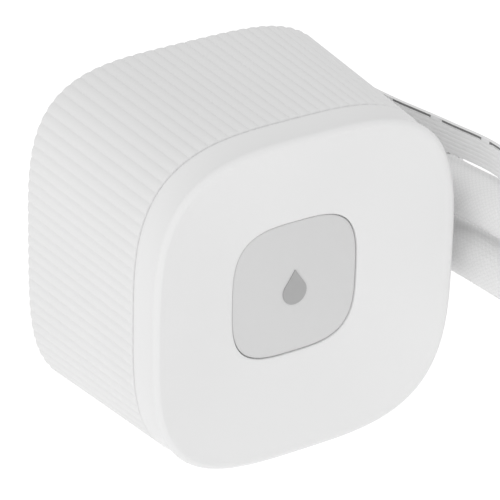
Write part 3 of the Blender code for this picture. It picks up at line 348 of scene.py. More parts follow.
def paint_groove_shade(mat, name, strength, shade):
    """Paint shade into the bottoms of grooves: darker colour where a mesh attribute says how deep they are.
    """
    tree = mat.node_tree
    shader = tree.nodes["Principled BSDF"]
    source = shader.inputs["Base Color"].links[0].from_socket
    deep = put(tree, "ShaderNodeAttribute", attribute_name=name).outputs["Fac"]
    # Painted shade: the deeper the groove, the more the colour turns to the shade grey.
    painted_groove_shade = times(tree, calc(tree, "POWER", deep, 1.5), strength)
    tree.links.new(blend_colours(tree, painted_groove_shade, source, shade), shader.inputs["Base Color"])
    return mat


# The fluted housing gets painted shade in the bottoms of its grooves.
HOUSING_WHITE = paint_groove_shade(white_moulding("housing_white", 0.80, 3200.0, 0.62), "groove", 0.06, grey(0.62))
CAP_WHITE = white_moulding("cap_white", 0.81, 5200.0, 0.62, depth=0.05, clouds=0.35)
FERRULE_WHITE = white_moulding("ferrule_white", 0.78, 2600.0, 0.42, depth=0.18)
INSULATOR_WHITE = white_moulding("insulator_white", 0.62, 2400.0, 0.55, depth=0.25)
BADGE_GREY = moulding("badge_grey", grey(0.66), grey(0.62), 9000.0, 0.34, 0.10, 0.4)
EMBLEM_GREY = moulding("emblem_grey", grey(0.40), grey(0.36), 7000.0, 0.42, 0.10, 0.5)
# Shade is the grey that the braid's painted shade in its hollows and its random fuzz lean towards.
BRAID_WHITE = finish_with("braid_white", FIBRES, {
    "Colour": grey(0.90), "Shade": grey(0.78), "Strands": 32.0, "Depth": 0.25, "Gloss": 0.6},
    coordinates="UV", Sheen_Weight=0.25, Sheen_Roughness=0.5)
LEAD_WHITE = white_moulding("lead_white", 0.81, 1800.0, 0.5, depth=0.22)
# Painted shade for the inside of the lead's shallow slots.
SLOT_PAINTED_SHADE = dark_moulding("slot_painted_shade", 0.16, 1500.0, 0.7)
GLASS_FILLED = dark_moulding("glass_filled_black", 0.022, 1600.0, 0.42)
RUBBER = dark_moulding("seal_rubber", 0.014, 900.0, 0.72, depth=0.5)
GRAPHITE = dark_moulding("bearing_graphite", 0.05, 2600.0, 0.5)
COPPER = metal("milled_copper", (0.80, 0.41, 0.27), (0.50, 0.20, 0.11),
               (60.0, 60.0, 5200.0), 0.24, 0.3, 0.9)
STEEL = metal("plated_steel", (0.62, 0.62, 0.64), (0.42, 0.42, 0.44),
              (900.0, 900.0, 5200.0), 0.26, 0.2, 0.6)
NICKEL = metal("bright_nickel", (0.74, 0.72, 0.69), (0.55, 0.53, 0.50),
               (700.0, 3600.0, 700.0), 0.14, 0.12, 0.5)
MAGNET = metal("sintered_magnet", (0.24, 0.24, 0.26), (0.12, 0.12, 0.13),
               (2600.0, 2600.0, 2600.0), 0.36, 0.35)
CORE_STEEL = metal("stacked_core", (0.34, 0.35, 0.38), (0.10, 0.10, 0.11),
                   (120.0, 9000.0, 120.0), 0.40, 0.9)
ENAMEL_WIRE = metal("enamelled_wire", (0.66, 0.26, 0.09), (0.20, 0.06, 0.02),
                    (260.0, 5200.0, 260.0), 0.26, 0.9, 0.9, 0.8)
CERAMIC = moulding("polished_ceramic", (0.86, 0.85, 0.80, 1.0), (0.78, 0.76, 0.70, 1.0),
                   5200.0, 0.16, 0.05, 0.5)


def board_material():
    """Green solder mask with paler copper tracks running under it."""
    mat = moulding("board_mask", (0.020, 0.16, 0.075, 1.0), (0.012, 0.11, 0.05, 1.0),
                   2600.0, 0.30, 0.15, 0.6, Coat_Weight=0.3)
    tree = mat.node_tree
    shader = tree.nodes["Principled BSDF"]
    source = shader.inputs["Base Color"].links[0].from_socket
    where = put(tree, "ShaderNodeTexCoord").outputs["Object"]
    turned = put(tree, "ShaderNodeMapping", {"Vector": where, "Rotation": (math.pi / 2, 0.0, 0.0)}).outputs[0]
    tracks = put(tree, "ShaderNodeTexBrick", {
        "Vector": turned, "Color1": grey(0.0), "Color2": grey(0.0), "Mortar": grey(1.0), "Scale": 170.0,
        "Mortar Size": 0.05, "Row Height": 0.32, "Brick Width": 1.4}, offset=0.35)
    shown = times(tree, tracks.outputs[0], 0.45)
    tree.links.new(blend_colours(tree, shown, source, (0.10, 0.36, 0.18, 1.0)), shader.inputs["Base Color"])
    return mat


BOARD_GREEN = board_material()


# ---- mesh helpers ----
def stand_in(piece, body, slot, *nodes):
    """Let a piece ride on a body and take the place of CAD nodes; slot is not used."""
    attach(piece, body)
    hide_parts(*nodes)


def keep(name, mesh, mats, smooth_angle=40.0):
    """Make a piece of a mesh that is already in place."""
    for mat in mats:
        mesh.materials.append(mat)
    mesh.shade_smooth()
    mesh.set_sharp_from_angle(angle=math.radians(smooth_angle))
    return link_in(name, mesh)


def from_bmesh(name, bm, mats, smooth_angle=40.0):
    bmesh.ops.recalc_face_normals(bm, faces=bm.faces)
    return keep(name, mesh_of(name, bm), mats, smooth_angle)


def bridge_loops(bm, loops, closed=False):
    """Skin rings of vertices one after another."""
    pairs = list(zip(loops, loops[1:])) + ([(loops[-1], loops[0])] if closed else [])
    for first, second in pairs:
        for i in range(len(first)):
            j = (i + 1) % len(first)
            bm.faces.new((first[i], first[j], second[j], second[i]))


def cap_loops(bm, loops):
    """Skin rings one after another and close both ends."""
    bridge_loops(bm, loops)
    bm.faces.new(loops[0])
    bm.faces.new(loops[-1])


def axes_along(direction):
    return Vector(direction).normalized().to_track_quat("Z", "Y").to_matrix()


def lay_ring(bm, start, turn, radius, height, segments):
    """A ring of vertices round an axis; the radius is a number or depends on the angle."""
    ring = []
    for i in range(segments):
        angle = 2 * math.pi * i / segments
        reach = radius(angle) if callable(radius) else radius
        offset = Vector((reach * math.cos(angle), reach * math.sin(angle), height))
        ring.append(bm.verts.new(Vector(start) + turn @ offset))
    return ring


def turned_piece(bm, start, direction, profile, segments=64):
    """A turned tube, whose wall is a closed profile of (radius, height) points."""
    turn = axes_along(direction)
    loops = [lay_ring(bm, start, turn, radius, height, segments) for radius, height in profile]
    bridge_loops(bm, loops, closed=True)


def rounded_corner(centre, radius, start, end, steps=5):
    """Points along an arc, in degrees."""
    turns = [math.radians(start + (end - start) * i / steps) for i in range(steps + 1)]
    return [(centre[0] + radius * math.cos(turn), centre[1] + radius * math.sin(turn)) for turn in turns]


def smooth_route(points, spacing):
    """Points evenly spaced along the smooth curve that the solids follow."""
    pts = np.array(points, dtype=float)
    ends = np.vstack([2 * pts[0] - pts[1], pts, 2 * pts[-1] - pts[-2]])
    dense = [pts[0]]
    for i in range(len(pts) - 1):
        p0, p1, p2, p3 = ends[i:i + 4]
        t1 = math.sqrt(np.linalg.norm(p1 - p0))
        span = math.sqrt(np.linalg.norm(p2 - p1))
        t3 = math.sqrt(np.linalg.norm(p3 - p2))
        m1 = span * ((p1 - p0) / t1 - (p2 - p0) / (t1 + span) + (p2 - p1) / span)
        m2 = span * ((p2 - p1) / span - (p3 - p1) / (span + t3) + (p3 - p2) / t3)
        for u in np.linspace(0, 1, 121)[1:]:
            dense.append((2 * u ** 3 - 3 * u ** 2 + 1) * p1 + (u ** 3 - 2 * u ** 2 + u) * m1
                         + (-2 * u ** 3 + 3 * u ** 2) * p2 + (u ** 3 - u ** 2) * m2)
    dense = np.array(dense)
    run = np.concatenate([[0], np.cumsum(np.linalg.norm(np.diff(dense, axis=0), axis=1))])
    count = max(2, int(round(run[-1] / spacing)) + 1)
    want = np.linspace(0, run[-1], count)
    return np.stack([np.interp(want, run, dense[:, k]) for k in range(3)], 1), float(run[-1])


def carried_frames(path):
    """Tangent and two sideways directions at each point, carried along without twist."""
    path = np.asarray(path)
    along = np.gradient(path, axis=0)
    along /= np.linalg.norm(along, axis=1)[:, None]
    side = np.zeros_like(path)
    side[0] = np.cross(along[0], (0, 0, 1))
    for i in range(1, len(path)):
        side[i] = side[i - 1] - along[i] * np.dot(side[i - 1], along[i])
        side[i] /= np.linalg.norm(side[i])
    return along, side, np.cross(along, side)


# ---- hoses ----
STRANDS = 32
STEPS_PER_STRAND = 3
STRAND_RELIEF = 0.16 * MM


def strand_height(left, right):
    """Height of a braid, 0 to 1, where strands of two directions pass over and under each other."""
    over = np.floor(left) + np.floor(right)
    across = np.where(over % 2 < 0.5, left, right) % 1.0
    lengthwise = np.where(over % 2 < 0.5, right, left) % 1.0
    return np.sin(np.pi * across) ** 0.6 * (0.55 + 0.45 * np.sin(np.pi * lengthwise))


def braided_hose(side, route):
    """A tube whose surface is woven: a strand is three mesh steps wide."""
    around = STRANDS * STEPS_PER_STRAND
    path, length = smooth_route(route, math.pi * HOSE_DIAMETER / around)
    along, across, up = carried_frames(path)
    rows, turns = np.arange(len(path)), np.arange(around)
    angle = 2 * math.pi * turns / around
    left = (rows[:, None] + turns[None, :]) / STEPS_PER_STRAND
    right = (rows[:, None] - turns[None, :]) / STEPS_PER_STRAND
    radius = HOSE_DIAMETER / 2 - STRAND_RELIEF * (1 - strand_height(left + 0.001, right + 0.001))
    outward = (across[:, None, :] * np.cos(angle)[None, :, None]
               + up[:, None, :] * np.sin(angle)[None, :, None])
    points = path[:, None, :] + outward * radius[:, :, None]
    count = len(path)
    grid = np.arange(count * around).reshape(count, around)
    after = np.roll(grid, -1, axis=1)
    quads = np.stack([grid[:-1], after[:-1], after[1:], grid[1:]], -1).reshape(-1, 4)
    mesh = bpy.data.meshes.new(side + "_braided_hose")
    faces = quads.tolist() + [grid[0][::-1].tolist(), grid[-1].tolist()]
    mesh.from_pydata(points.reshape(-1, 3).tolist(), [], faces)
    layer = mesh.uv_layers.new(name="UVMap")
    row = np.repeat(np.arange(count - 1), around)
    turn = np.tile(turns, count - 1)
    corners = np.stack([np.stack([turn, row], 1), np.stack([turn + 1, row], 1),
                        np.stack([turn + 1, row + 1], 1), np.stack([turn, row + 1], 1)], 1)
    uv = np.zeros((len(mesh.loops), 2), np.float32)
    uv[:corners.shape[0] * 4] = corners.reshape(-1, 2) / around
    layer.data.foreach_set("uv", uv.ravel())
    hose = keep(side + "_braided_hose", mesh, [BRAID_WHITE], 80.0)
    stand_in(hose, "base", "white_braid", side + "_hose")
    return hose, length, [tuple(point) for point in path[::12]] + [tuple(path[-1])]


def crimp_sleeve(name, start, direction):
    """A crimp ferrule: rolled mouth, pressed rings and a soft flare over the hose."""
    bore, outer, length = 6.12 * MM, FERRULE_RADIUS, FERRULE_LENGTH
    profile = [(bore, 0.0)] + rounded_corner((outer - 0.5 * MM, 0.5 * MM), 0.5 * MM, -90, 0)
    rings, pitch, depth = 3, 2.0 * MM, 0.28 * MM
    low = 3.2 * MM
    for ring in range(rings):
        for step in range(9):
            share = step / 8
            profile.append((outer - depth * math.sin(math.pi * share),
                            low + ring * pitch + share * pitch * 0.8))
    profile += [(outer, length - 3.4 * MM), (outer - 0.12 * MM, length - 3.2 * MM),
                (outer - 0.12 * MM, length - 2.6 * MM), (outer, length - 2.4 * MM)]
    profile += rounded_corner((outer - 0.4 * MM, length - 0.4 * MM), 0.4 * MM, 0, 90)
    profile.append((bore, length))
    bm = bmesh.new()
    turned_piece(bm, start, direction, profile, 72)
    sleeve = from_bmesh(name + "_crimped", bm, [FERRULE_WHITE])
    stand_in(sleeve, "base", "white_plastic", name)
    return sleeve


def threaded_fitting(name, tip, direction):
    """A swivel fitting: neck, chamfered hexagon nut with a groove, and a threaded nose."""
    bm = bmesh.new()
    bore = 4.0 * MM
    turned_piece(bm, tip, direction, [
        (bore, 0.4 * MM), (5.4 * MM, 0.4 * MM), (5.6 * MM, 0.7 * MM), (5.6 * MM, 6.2 * MM),
        (6.6 * MM, 6.6 * MM), (6.6 * MM, 7.4 * MM), (6.0 * MM, 7.6 * MM), (6.0 * MM, 12.4 * MM),
        (bore, 12.4 * MM)])
    turn, segments, flat = axes_along(direction), 96, NUT_RADIUS * math.cos(math.pi / 6)
    loops = []
    for chamfer, height in ((1.05, 7.2), (0.25, 7.75), (0.0, 8.0),
                            (0.0, 12.2), (0.25, 12.45), (1.05, 12.95)):
        def hexagon(angle, most=NUT_RADIUS - chamfer * MM):
            return min(flat / math.cos((angle + math.pi / 6) % (math.pi / 3) - math.pi / 6), most)
        loops.append(lay_ring(bm, tip, turn, hexagon, height * MM, segments))
    hole = [lay_ring(bm, tip, turn, 5.9 * MM, height * MM, segments) for height in (12.95, 7.2)]
    bridge_loops(bm, loops + hole, closed=True)
    pitch, depth, rows = 1.34 * MM, 0.42 * MM, 44
    thread = []
    for row in range(rows + 1):
        height = 12.7 * MM + 8.0 * MM * row / rows
        fade = min(1.0, row / 5, (rows - row) / 4)

        def crest(angle, height=height, fade=fade):
            phase = (height / pitch - angle / (2 * math.pi)) % 1.0
            return 6.4 * MM - depth * fade * abs(2 * phase - 1)
        thread.append(lay_ring(bm, tip, turn, crest, height, 64))
    for radius, height in ((5.9, 21.0), (4.4, 21.0), (bore / MM, 20.6), (bore / MM, 12.7)):
        thread.append(lay_ring(bm, tip, turn, radius * MM, height * MM, 64))
    bridge_loops(bm, thread, closed=True)
    fitting = from_bmesh(name + "_threaded", bm, [NICKEL], 32.0)
    stand_in(fitting, "base", "nickel", name)
    return fitting


def make_hoses():
    """Both hoses, each with its ferrules and its fitting."""
    for side, height, route in (("supply", -HOSE_OFFSET, SUPPLY_ROUTE),
                                ("return", HOSE_OFFSET, RETURN_ROUTE)):
        hose, length, path = braided_hose(side, route)
        tip = Vector(route[-1])
        along = (tip - Vector(route[-2])).normalized()
        start = Vector((HOSE_X, -HOSE_START + FERRULE_LAP + 0.2 * MM, height))
        root = crimp_sleeve(side + "_head_ferrule", start, (0, -1, 0))
        end = crimp_sleeve(side + "_end_ferrule", tip + along * FERRULE_LAP, -along)
        fitting = threaded_fitting(side + "_fitting", tip, along)


# ---- flat lead ----
SLOT_PITCH = 15.0 * MM
SLOT_LENGTH = 12.0 * MM
SLOT_START = 6.4 * MM
STRIP_THICK = 0.9 * MM
STRIP_CORNER = 0.25 * MM
STRIP_STEP = 0.8 * MM
WIRE_GROOVE = 0.07 * MM
SLOT_DEPTH = 0.3 * MM
SLOT_LOW, SLOT_HIGH = 0.765 * LEAD_WIDTH / 2, 0.92 * LEAD_WIDTH / 2


def lead_tilt(share):
    """On edge beside the head, flat on the table: share is 0 at the head."""
    left = min(1.0, max(0.0, (0.44 - share) / 0.32))
    return math.pi / 2 * left * left * (3 - 2 * left)


def lead_section():
    """Outline of the strip, (across, through) in metres: shallow grooves between its wires on both sides."""
    flat, thick = LEAD_WIDTH / 2 - STRIP_CORNER, STRIP_THICK / 2
    wide = np.linspace(flat, -flat, 57)
    ripple = thick - WIRE_GROOVE * np.exp(-(((wide / flat * 3.5) % 1.0 - 0.5) / 0.16) ** 2)
    upper = list(zip(wide, ripple))
    lower = [(-across, -through) for across, through in upper]
    inset = thick - STRIP_CORNER
    left = rounded_corner((-flat, inset), STRIP_CORNER, 90, 180, 4)[1:]
    left += rounded_corner((-flat, -inset), STRIP_CORNER, 180, 270, 4)[:-1]
    right = [(-across, -through) for across, through in left]
    return upper + left + lower + right


def make_lead():
    """The strip along its route, with shallow slots near one edge whose dark colour is painted shade."""
    path, length = smooth_route(LEAD_ROUTE, STRIP_STEP)
    along = np.gradient(path, axis=0)
    section = lead_section()
    bm = bmesh.new()
    rings = []
    for index, place in enumerate(path):
        ahead = Vector(along[index]).normalized()
        level = ahead.cross(Vector((0, 0, 1))).normalized()
        rise = level.cross(ahead)
        tilt = lead_tilt(index / (len(path) - 1))
        wide = level * math.cos(tilt) + rise * math.sin(tilt)
        thick = rise * math.cos(tilt) - level * math.sin(tilt)
        run = index * length / (len(path) - 1)
        in_slot = (run - SLOT_START) % SLOT_PITCH < SLOT_LENGTH
        ring = []
        for across, through in section:
            if in_slot and through < 0 and SLOT_LOW < across < SLOT_HIGH:
                through += SLOT_DEPTH
            ring.append(bm.verts.new(Vector(place) + wide * across + thick * through))
        rings.append(ring)
    bridge_loops(bm, rings)
    bm.faces.new(rings[0][::-1])
    bm.faces.new(rings[-1])
    bm.faces.ensure_lookup_table()
    wrap = len(section)
    # The slot faces take the dark material: painted shade standing in for deep slots.
    for number in range(len(path) - 1):
        run = (number + 0.5) * length / (len(path) - 1)
        if (run - SLOT_START) % SLOT_PITCH >= SLOT_LENGTH:
            continue
        for k, (across, through) in enumerate(section):
            if through < 0 and SLOT_LOW - 0.05 * MM < across < SLOT_HIGH:
                bm.faces[number * wrap + k].material_index = 1
    lead = from_bmesh("slotted_lead", bm, [LEAD_WHITE, SLOT_PAINTED_SHADE], 50.0)
    stand_in(lead, "base", "lead_white", "signal_lead")


# ---- squircle skins, by geometry nodes ----
def coat(tree, shape, given, out):
    """Give a tree's result its material and put it out."""
    coated = put(tree, "GeometryNodeSetMaterial", {
        "Geometry": shape.outputs[0], "Material": given["Material"]})
    tree.links.new(coated.outputs[0], out["Geometry"])


def make_skin_tree():
    """Skin between a rear and a front outline, along a section of (scale, depth, flute) points."""
    tree, given, out = new_group("squircle_skin", "GeometryNodeTree", [
        ("Rear Outline", "NodeSocketObject", None), ("Front Outline", "NodeSocketObject", None),
        ("Section", "NodeSocketObject", None), ("Around", "NodeSocketInt", 96),
        ("Rings", "NodeSocketInt", 8),
        ("Rear Depth", NUMBER, 0.0), ("Front Depth", NUMBER, 0.04), ("Ribs", NUMBER, 0.0),
        ("Rib Height", NUMBER, 0.0), ("Material", "NodeSocketMaterial", None)],
        [("Geometry", "NodeSocketGeometry")])
    columns = calc(tree, "ADD", given["Around"], 1.0)
    grid = put(tree, "GeometryNodeMeshGrid", {"Size X": 1.0, "Size Y": 1.0, "Vertices X": columns,
                                             "Vertices Y": given["Rings"]})
    spot = put(tree, "ShaderNodeSeparateXYZ", {0: put(tree, "GeometryNodeInputPosition").outputs[0]}).outputs
    around = calc(tree, "ADD", spot[0], 0.5)
    steps = calc(tree, "SUBTRACT", given["Rings"], 1.0)
    ring = calc(tree, "ROUND", times(tree, calc(tree, "ADD", spot[1], 0.5), steps))
    profile = geometry_of(tree, given["Section"])
    sampled = put(tree, "GeometryNodeSampleIndex", data_type="FLOAT_VECTOR", domain="POINT")
    tree.links.new(profile, sampled.inputs["Geometry"])
    tree.links.new(put(tree, "GeometryNodeInputPosition").outputs[0], sampled.inputs["Value"])
    tree.links.new(ring, sampled.inputs["Index"])
    scale, depth, flute = put(tree, "ShaderNodeSeparateXYZ", {0: sampled.outputs[0]}).outputs[:3]
    span = calc(tree, "SUBTRACT", given["Front Depth"], given["Rear Depth"])
    share = calc(tree, "DIVIDE", calc(tree, "SUBTRACT", depth, given["Rear Depth"]), span)
    sides = []
    for label in ("Rear Outline", "Front Outline"):
        curve = geometry_of(tree, given[label])
        sample = put(tree, "GeometryNodeSampleCurve", {"Curves": curve, "Factor": around}, mode="FACTOR")
        sides.append((sample.outputs["Position"], sample.outputs["Tangent"]))
    mixed = []
    for rear, front in zip(sides[0], sides[1]):
        change = vector_calc(tree, "SCALE", vector_calc(tree, "SUBTRACT", front, rear), share)
        mixed.append(vector_calc(tree, "ADD", rear, change))
    sideways = vector_calc(tree, "CROSS_PRODUCT", (0.0, 1.0, 0.0), mixed[1])
    outward = vector_calc(tree, "NORMALIZE", sideways, (0, 0, 0))
    turns = times(tree, times(tree, around, math.pi), given["Ribs"])
    wave = calc(tree, "ABSOLUTE", calc(tree, "SINE", turns))
    dip = times(tree, calc(tree, "SUBTRACT", 1.0, calc(tree, "POWER", wave, 0.8)), flute)
    sink = times(tree, times(tree, dip, given["Rib Height"]), -1.0)
    base = vector_calc(tree, "SCALE", mixed[0], scale)
    lift = put(tree, "ShaderNodeCombineXYZ", {1: times(tree, depth, -1.0)}).outputs[0]
    sunk = vector_calc(tree, "ADD", base, vector_calc(tree, "SCALE", outward, sink))
    place = vector_calc(tree, "ADD", sunk, lift)
    # The groove depth is stored for the painted shade that the housing's material puts in its grooves.
    marked = put(tree, "GeometryNodeStoreNamedAttribute", {
        "Geometry": grid.outputs["Mesh"], "Name": "groove", "Value": dip}, data_type="FLOAT", domain="POINT")
    mapped = put(tree, "GeometryNodeStoreNamedAttribute", {
        "Geometry": marked.outputs[0], "Name": "UVMap", "Value": grid.outputs["UV Map"]},
        data_type="FLOAT2", domain="CORNER")
    moved = put(tree, "GeometryNodeSetPosition", {"Geometry": mapped.outputs[0], "Position": place})
    merged = put(tree, "GeometryNodeMergeByDistance", {
        "Geometry": moved.outputs[0], "Distance": 0.002 * MM})
    coat(tree, merged, given, out)
    return tree


SKIN_TREE = make_skin_tree()


def squircle_points(half, exponent, count=1440):
    """Evenly spaced points round a squircle, as (x, 0, z)."""
    turn = np.linspace(0, 2 * math.pi, 8001)
    x = half * np.sign(np.cos(turn)) * np.abs(np.cos(turn)) ** (2 / exponent)
    z = half * np.sign(np.sin(turn)) * np.abs(np.sin(turn)) ** (2 / exponent)
    run = np.concatenate([[0], np.cumsum(np.hypot(np.diff(x), np.diff(z)))])
    want = np.arange(count) / count * run[-1]
    return [(float(a), 0.0, float(b)) for a, b in zip(np.interp(want, run, x), np.interp(want, run, z))]


def outline_curve(half, exponent):
    """A squircle as a closed curve for the skin tree to follow."""
    data = bpy.data.curves.new("outline", "CURVE")
    data.dimensions = "3D"
    spline = data.splines.new("POLY")
    points = squircle_points(half, exponent)
    spline.points.add(len(points) - 1)
    for point, place in zip(spline.points, points):
        point.co = (*place, 1.0)
    spline.use_cyclic_u = True
    return link_in("outline", data)


def run_tree(name, tree, values, mats, smooth_angle=40.0, helpers=()):
    """Run a geometry tree on an empty mesh, keep the result as a plain piece and remove the helpers."""
    holder = link_in(name + "_holder", bpy.data.meshes.new(name + "_holder"))
    mod = holder.modifiers.new("tree", "NODES")
    mod.node_group = tree
    labels = {item.name: item.identifier for item in tree.interface.items_tree if item.in_out == "INPUT"}
    for label, value in values.items():
        mod[labels[label]] = value
    holder.update_tag()
    mesh = evaluated_mesh(holder)
    holder.modifiers.remove(mod)
    bpy.data.objects.remove(holder, do_unlink=True)
    for helper in helpers:
        bpy.data.objects.remove(helper, do_unlink=True)
    bm = bmesh.new()
    bm.from_mesh(mesh)
    bmesh.ops.recalc_face_normals(bm, faces=bm.faces)
    bm.to_mesh(mesh)
    bm.free()
    mesh.materials.clear()
    return keep(name, mesh, mats, smooth_angle)


def squircle_skin(name, rear, front, section, mat, around, ribs=0.0, rib_height=0.0,
                  smooth_angle=40.0):
    """A skin over (half width, exponent, depth) outlines; section holds (scale, depth, flute)."""
    profile = bpy.data.meshes.new("section")
    profile.from_pydata(section + [section[0]], [], [])
    rail = link_in("section", profile)
    curves = [outline_curve(*rear[:2]), outline_curve(*front[:2])]
    return run_tree(name, SKIN_TREE, {
        "Rear Outline": curves[0], "Front Outline": curves[1], "Section": rail, "Around": around,
        "Rings": len(section) + 1, "Rear Depth": rear[2], "Front Depth": front[2], "Ribs": ribs,
        "Rib Height": rib_height, "Material": mat}, [mat], smooth_angle, [rail] + curves)


def make_housing():
    """The fluted wall, with rounded rims and the seat for the inner frame."""
    front, rear = SEAM_DEPTH, REAR_DEPTH
    inner = 1 - (WALL - 0.3 * MM) / FRONT_HALF
    ledge = inner + 0.8 * MM / FRONT_HALF
    section = []
    for step in range(7):
        turn = math.radians(90 * step / 6)
        section.append((1 - REAR_ROUND / REAR_HALF * (1 - math.sin(turn)),
                        rear + REAR_ROUND * (1 - math.cos(turn)), math.sin(turn) * 0.7 + 0.3))
    straight = front - rear - REAR_ROUND - RIM_ROUND
    for step in range(1, 13):
        section.append((1.0, rear + REAR_ROUND + straight * step / 12, 1.0))
    for step in range(1, 6):
        turn = math.radians(90 * step / 5)
        section.append((1 - RIM_ROUND / FRONT_HALF * (1 - math.cos(turn)),
                        front - RIM_ROUND + RIM_ROUND * math.sin(turn), 1.0 - 0.3 * step / 5))
    section += [(ledge, front, 0.0), (ledge, front - SEAT_DEPTH, 0.0), (inner, front - SEAT_DEPTH, 0.0),
                (inner, rear, 0.0)]
    housing = squircle_skin("fluted_housing", (REAR_HALF, REAR_EXPONENT, rear),
                            (FRONT_HALF, FRONT_EXPONENT, front), section, HOUSING_WHITE,
                            RIB_COUNT * 12, float(RIB_COUNT), RIB_HEIGHT, 50.0)
    cut_notch(housing)
    stand_in(housing, "base", "white_plastic", "ribbed_shroud")


NOTCH_BOXES = (((34, -16.0, -13.0), (46, -1.0, 13.0)),      # elbows, in millimetres
               ((34, -14.2, 17.5), (46, -8.4, 24.3)))       # lead guide


def cut_notch(housing):
    """The opening in the right-hand wall for the elbows and the lead guide."""
    tool = bmesh.new()
    for low, high in NOTCH_BOXES:
        low, high = Vector(low) * MM, Vector(high) * MM
        size = high - low
        bmesh.ops.create_cube(tool, size=1.0, matrix=Matrix.Translation((low + high) / 2)
                              @ Matrix.Diagonal((*size, 1.0)))
    crosswise = [edge for edge in tool.edges if abs((edge.verts[0].co - edge.verts[1].co).x) > 5 * MM]
    bmesh.ops.bevel(tool, geom=crosswise, offset=1.4 * MM, segments=4, affect="EDGES")
    block = link_in("notch", mesh_of("notch", tool))
    mod = housing.modifiers.new("notch", "BOOLEAN")
    mod.operation = "DIFFERENCE"
    mod.solver = "EXACT"
    mod.object = block
    result = evaluated_mesh(housing)
    housing.modifiers.remove(mod)
    housing.data = result
    bpy.data.objects.remove(block, do_unlink=True)


def dish_depth(half):
    """Depth of the dished face at a half width, from the rim down to the badge."""
    rim, hub = CAP_HALF - CAP_TAPER - 0.8 * MM, BADGE_HALF
    share = min(1.0, max(0.0, (half - hub) / (rim - hub)))
    return CAP_FRONT - DISH_DEPTH * (1 - share ** DISH_CURVE)


def make_cap():
    """The smooth cap: waisted side, rounded lip, dished face and the badge's pocket."""
    half = CAP_HALF
    section = []

    def add(width, depth):
        section.append((width / half, depth, 0.0))

    add(half - CAP_LEAD_IN, CAP_REAR)
    add(half - 0.1 * MM, CAP_REAR + 0.1 * MM)
    lip = CAP_FRONT - CAP_EDGE
    for step in range(13):
        share = step / 12
        waist = CAP_WAIST * math.sin(math.pi * share * 0.86) ** 0.9 if share else 0.0
        width = half - waist - CAP_TAPER * share * 0.4
        add(width, CAP_REAR + CAP_LEAD_IN + (lip - CAP_REAR - CAP_LEAD_IN) * share)
    edge = half - CAP_TAPER
    for step in range(1, 8):
        turn = math.radians(90 * step / 7)
        add(edge - CAP_EDGE * (1 - math.cos(turn)), lip + CAP_EDGE * math.sin(turn))
    hub = BADGE_HALF + BADGE_GAP
    rim = edge - CAP_EDGE
    for step in range(1, 25):
        width = rim + (hub + 0.25 * MM - rim) * step / 24
        add(width, dish_depth(width))
    pocket = BADGE_FACE - 0.9 * MM
    add(hub + 0.06 * MM, dish_depth(hub) - 0.06 * MM)
    add(hub, dish_depth(hub) - 0.25 * MM)
    add(hub, pocket)
    add(0.0, pocket)
    behind = pocket - CAP_WALL + 0.7 * MM
    add(0.0, behind)
    add(hub + 1.4 * MM, behind)
    for step in range(9):
        width = hub + 2.2 * MM + (half - 5.0 * MM - hub - 2.2 * MM) * step / 8
        add(width, dish_depth(width) - CAP_WALL - 0.2 * MM)
    add(half - CAP_WALL - 0.8 * MM, CAP_FRONT - CAP_WALL - 1.6 * MM)
    add(half - CAP_WALL, CAP_FRONT - CAP_WALL - 2.6 * MM)
    add(half - CAP_WALL, CAP_REAR)
    outline = (half, CAP_EXPONENT, CAP_REAR)
    cap = squircle_skin("dished_cap", outline, (half, CAP_EXPONENT, CAP_FRONT), section, CAP_WHITE, 288,
                        smooth_angle=38.0)
    stand_in(cap, "cap", "white_plastic", "front_cap")


def make_badge():
    """The flat badge with a fine chamfer, and the drop on it."""
    half, face = BADGE_HALF, BADGE_FACE
    rear = -BADGE_HIGH.y
    section = [(0.0, rear, 0.0), (1 - 0.15 * MM / half, rear, 0.0), (1.0, rear + 0.15 * MM, 0.0),
               (1.0, face - 0.16 * MM, 0.0), (1 - 0.05 * MM / half, face - 0.05 * MM, 0.0),
               (1 - 0.16 * MM / half, face, 0.0), (1 - 0.5 * MM / half, face, 0.0), (0.0, face, 0.0)]
    badge = squircle_skin("grey_badge", (half, BADGE_EXPONENT, rear), (half, BADGE_EXPONENT, face),
                          section, BADGE_GREY, 192, smooth_angle=30.0)
    stand_in(badge, "cap", "badge_grey", "badge_plate")
    low, high = (Vector(corner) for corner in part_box("badge_emblem"))
    height = high.z - low.z
    radius = height * 0.36
    middle = low.z + radius
    outline = rounded_corner((0.0, middle), radius, -210, 30, 64)
    tip = (0.0, high.z)
    sides = [outline[-1], tip, outline[0]]
    outline += [(sides[0][0] * 0.5, (sides[0][1] + tip[1]) / 2 - 0.05 * MM), tip,
                (sides[2][0] * 0.5, (sides[2][1] + tip[1]) / 2 - 0.05 * MM)]
    bm = bmesh.new()
    loops = []
    for scale, level in ((1.0, high.y), (1.0, low.y + 0.06 * MM), (0.985, low.y)):
        loops.append([bm.verts.new((x * scale, level, middle + (z - middle) * scale)) for x, z in outline])
    cap_loops(bm, loops)
    drop = from_bmesh("drop_emblem", bm, [EMBLEM_GREY], 30.0)
    stand_in(drop, "cap", "emblem_grey", "badge_emblem")


# ---- elbows ----
ELBOW_BEND = 5.2 * MM
ELBOW_RADIUS = 5.0 * MM
RING_ROUND = 0.3 * MM


def round_ring(bm, start, direction, reach, length):
    """A ring with rounded outer edges; reach and length are those of its flat parts."""
    profile = [(3.0 * MM, 0.0)] + rounded_corner((reach, RING_ROUND), RING_ROUND, -90, 0)
    profile += rounded_corner((reach, length), RING_ROUND, 0, 90) + [(3.0 * MM, length + RING_ROUND)]
    turned_piece(bm, start, direction, profile, 56)


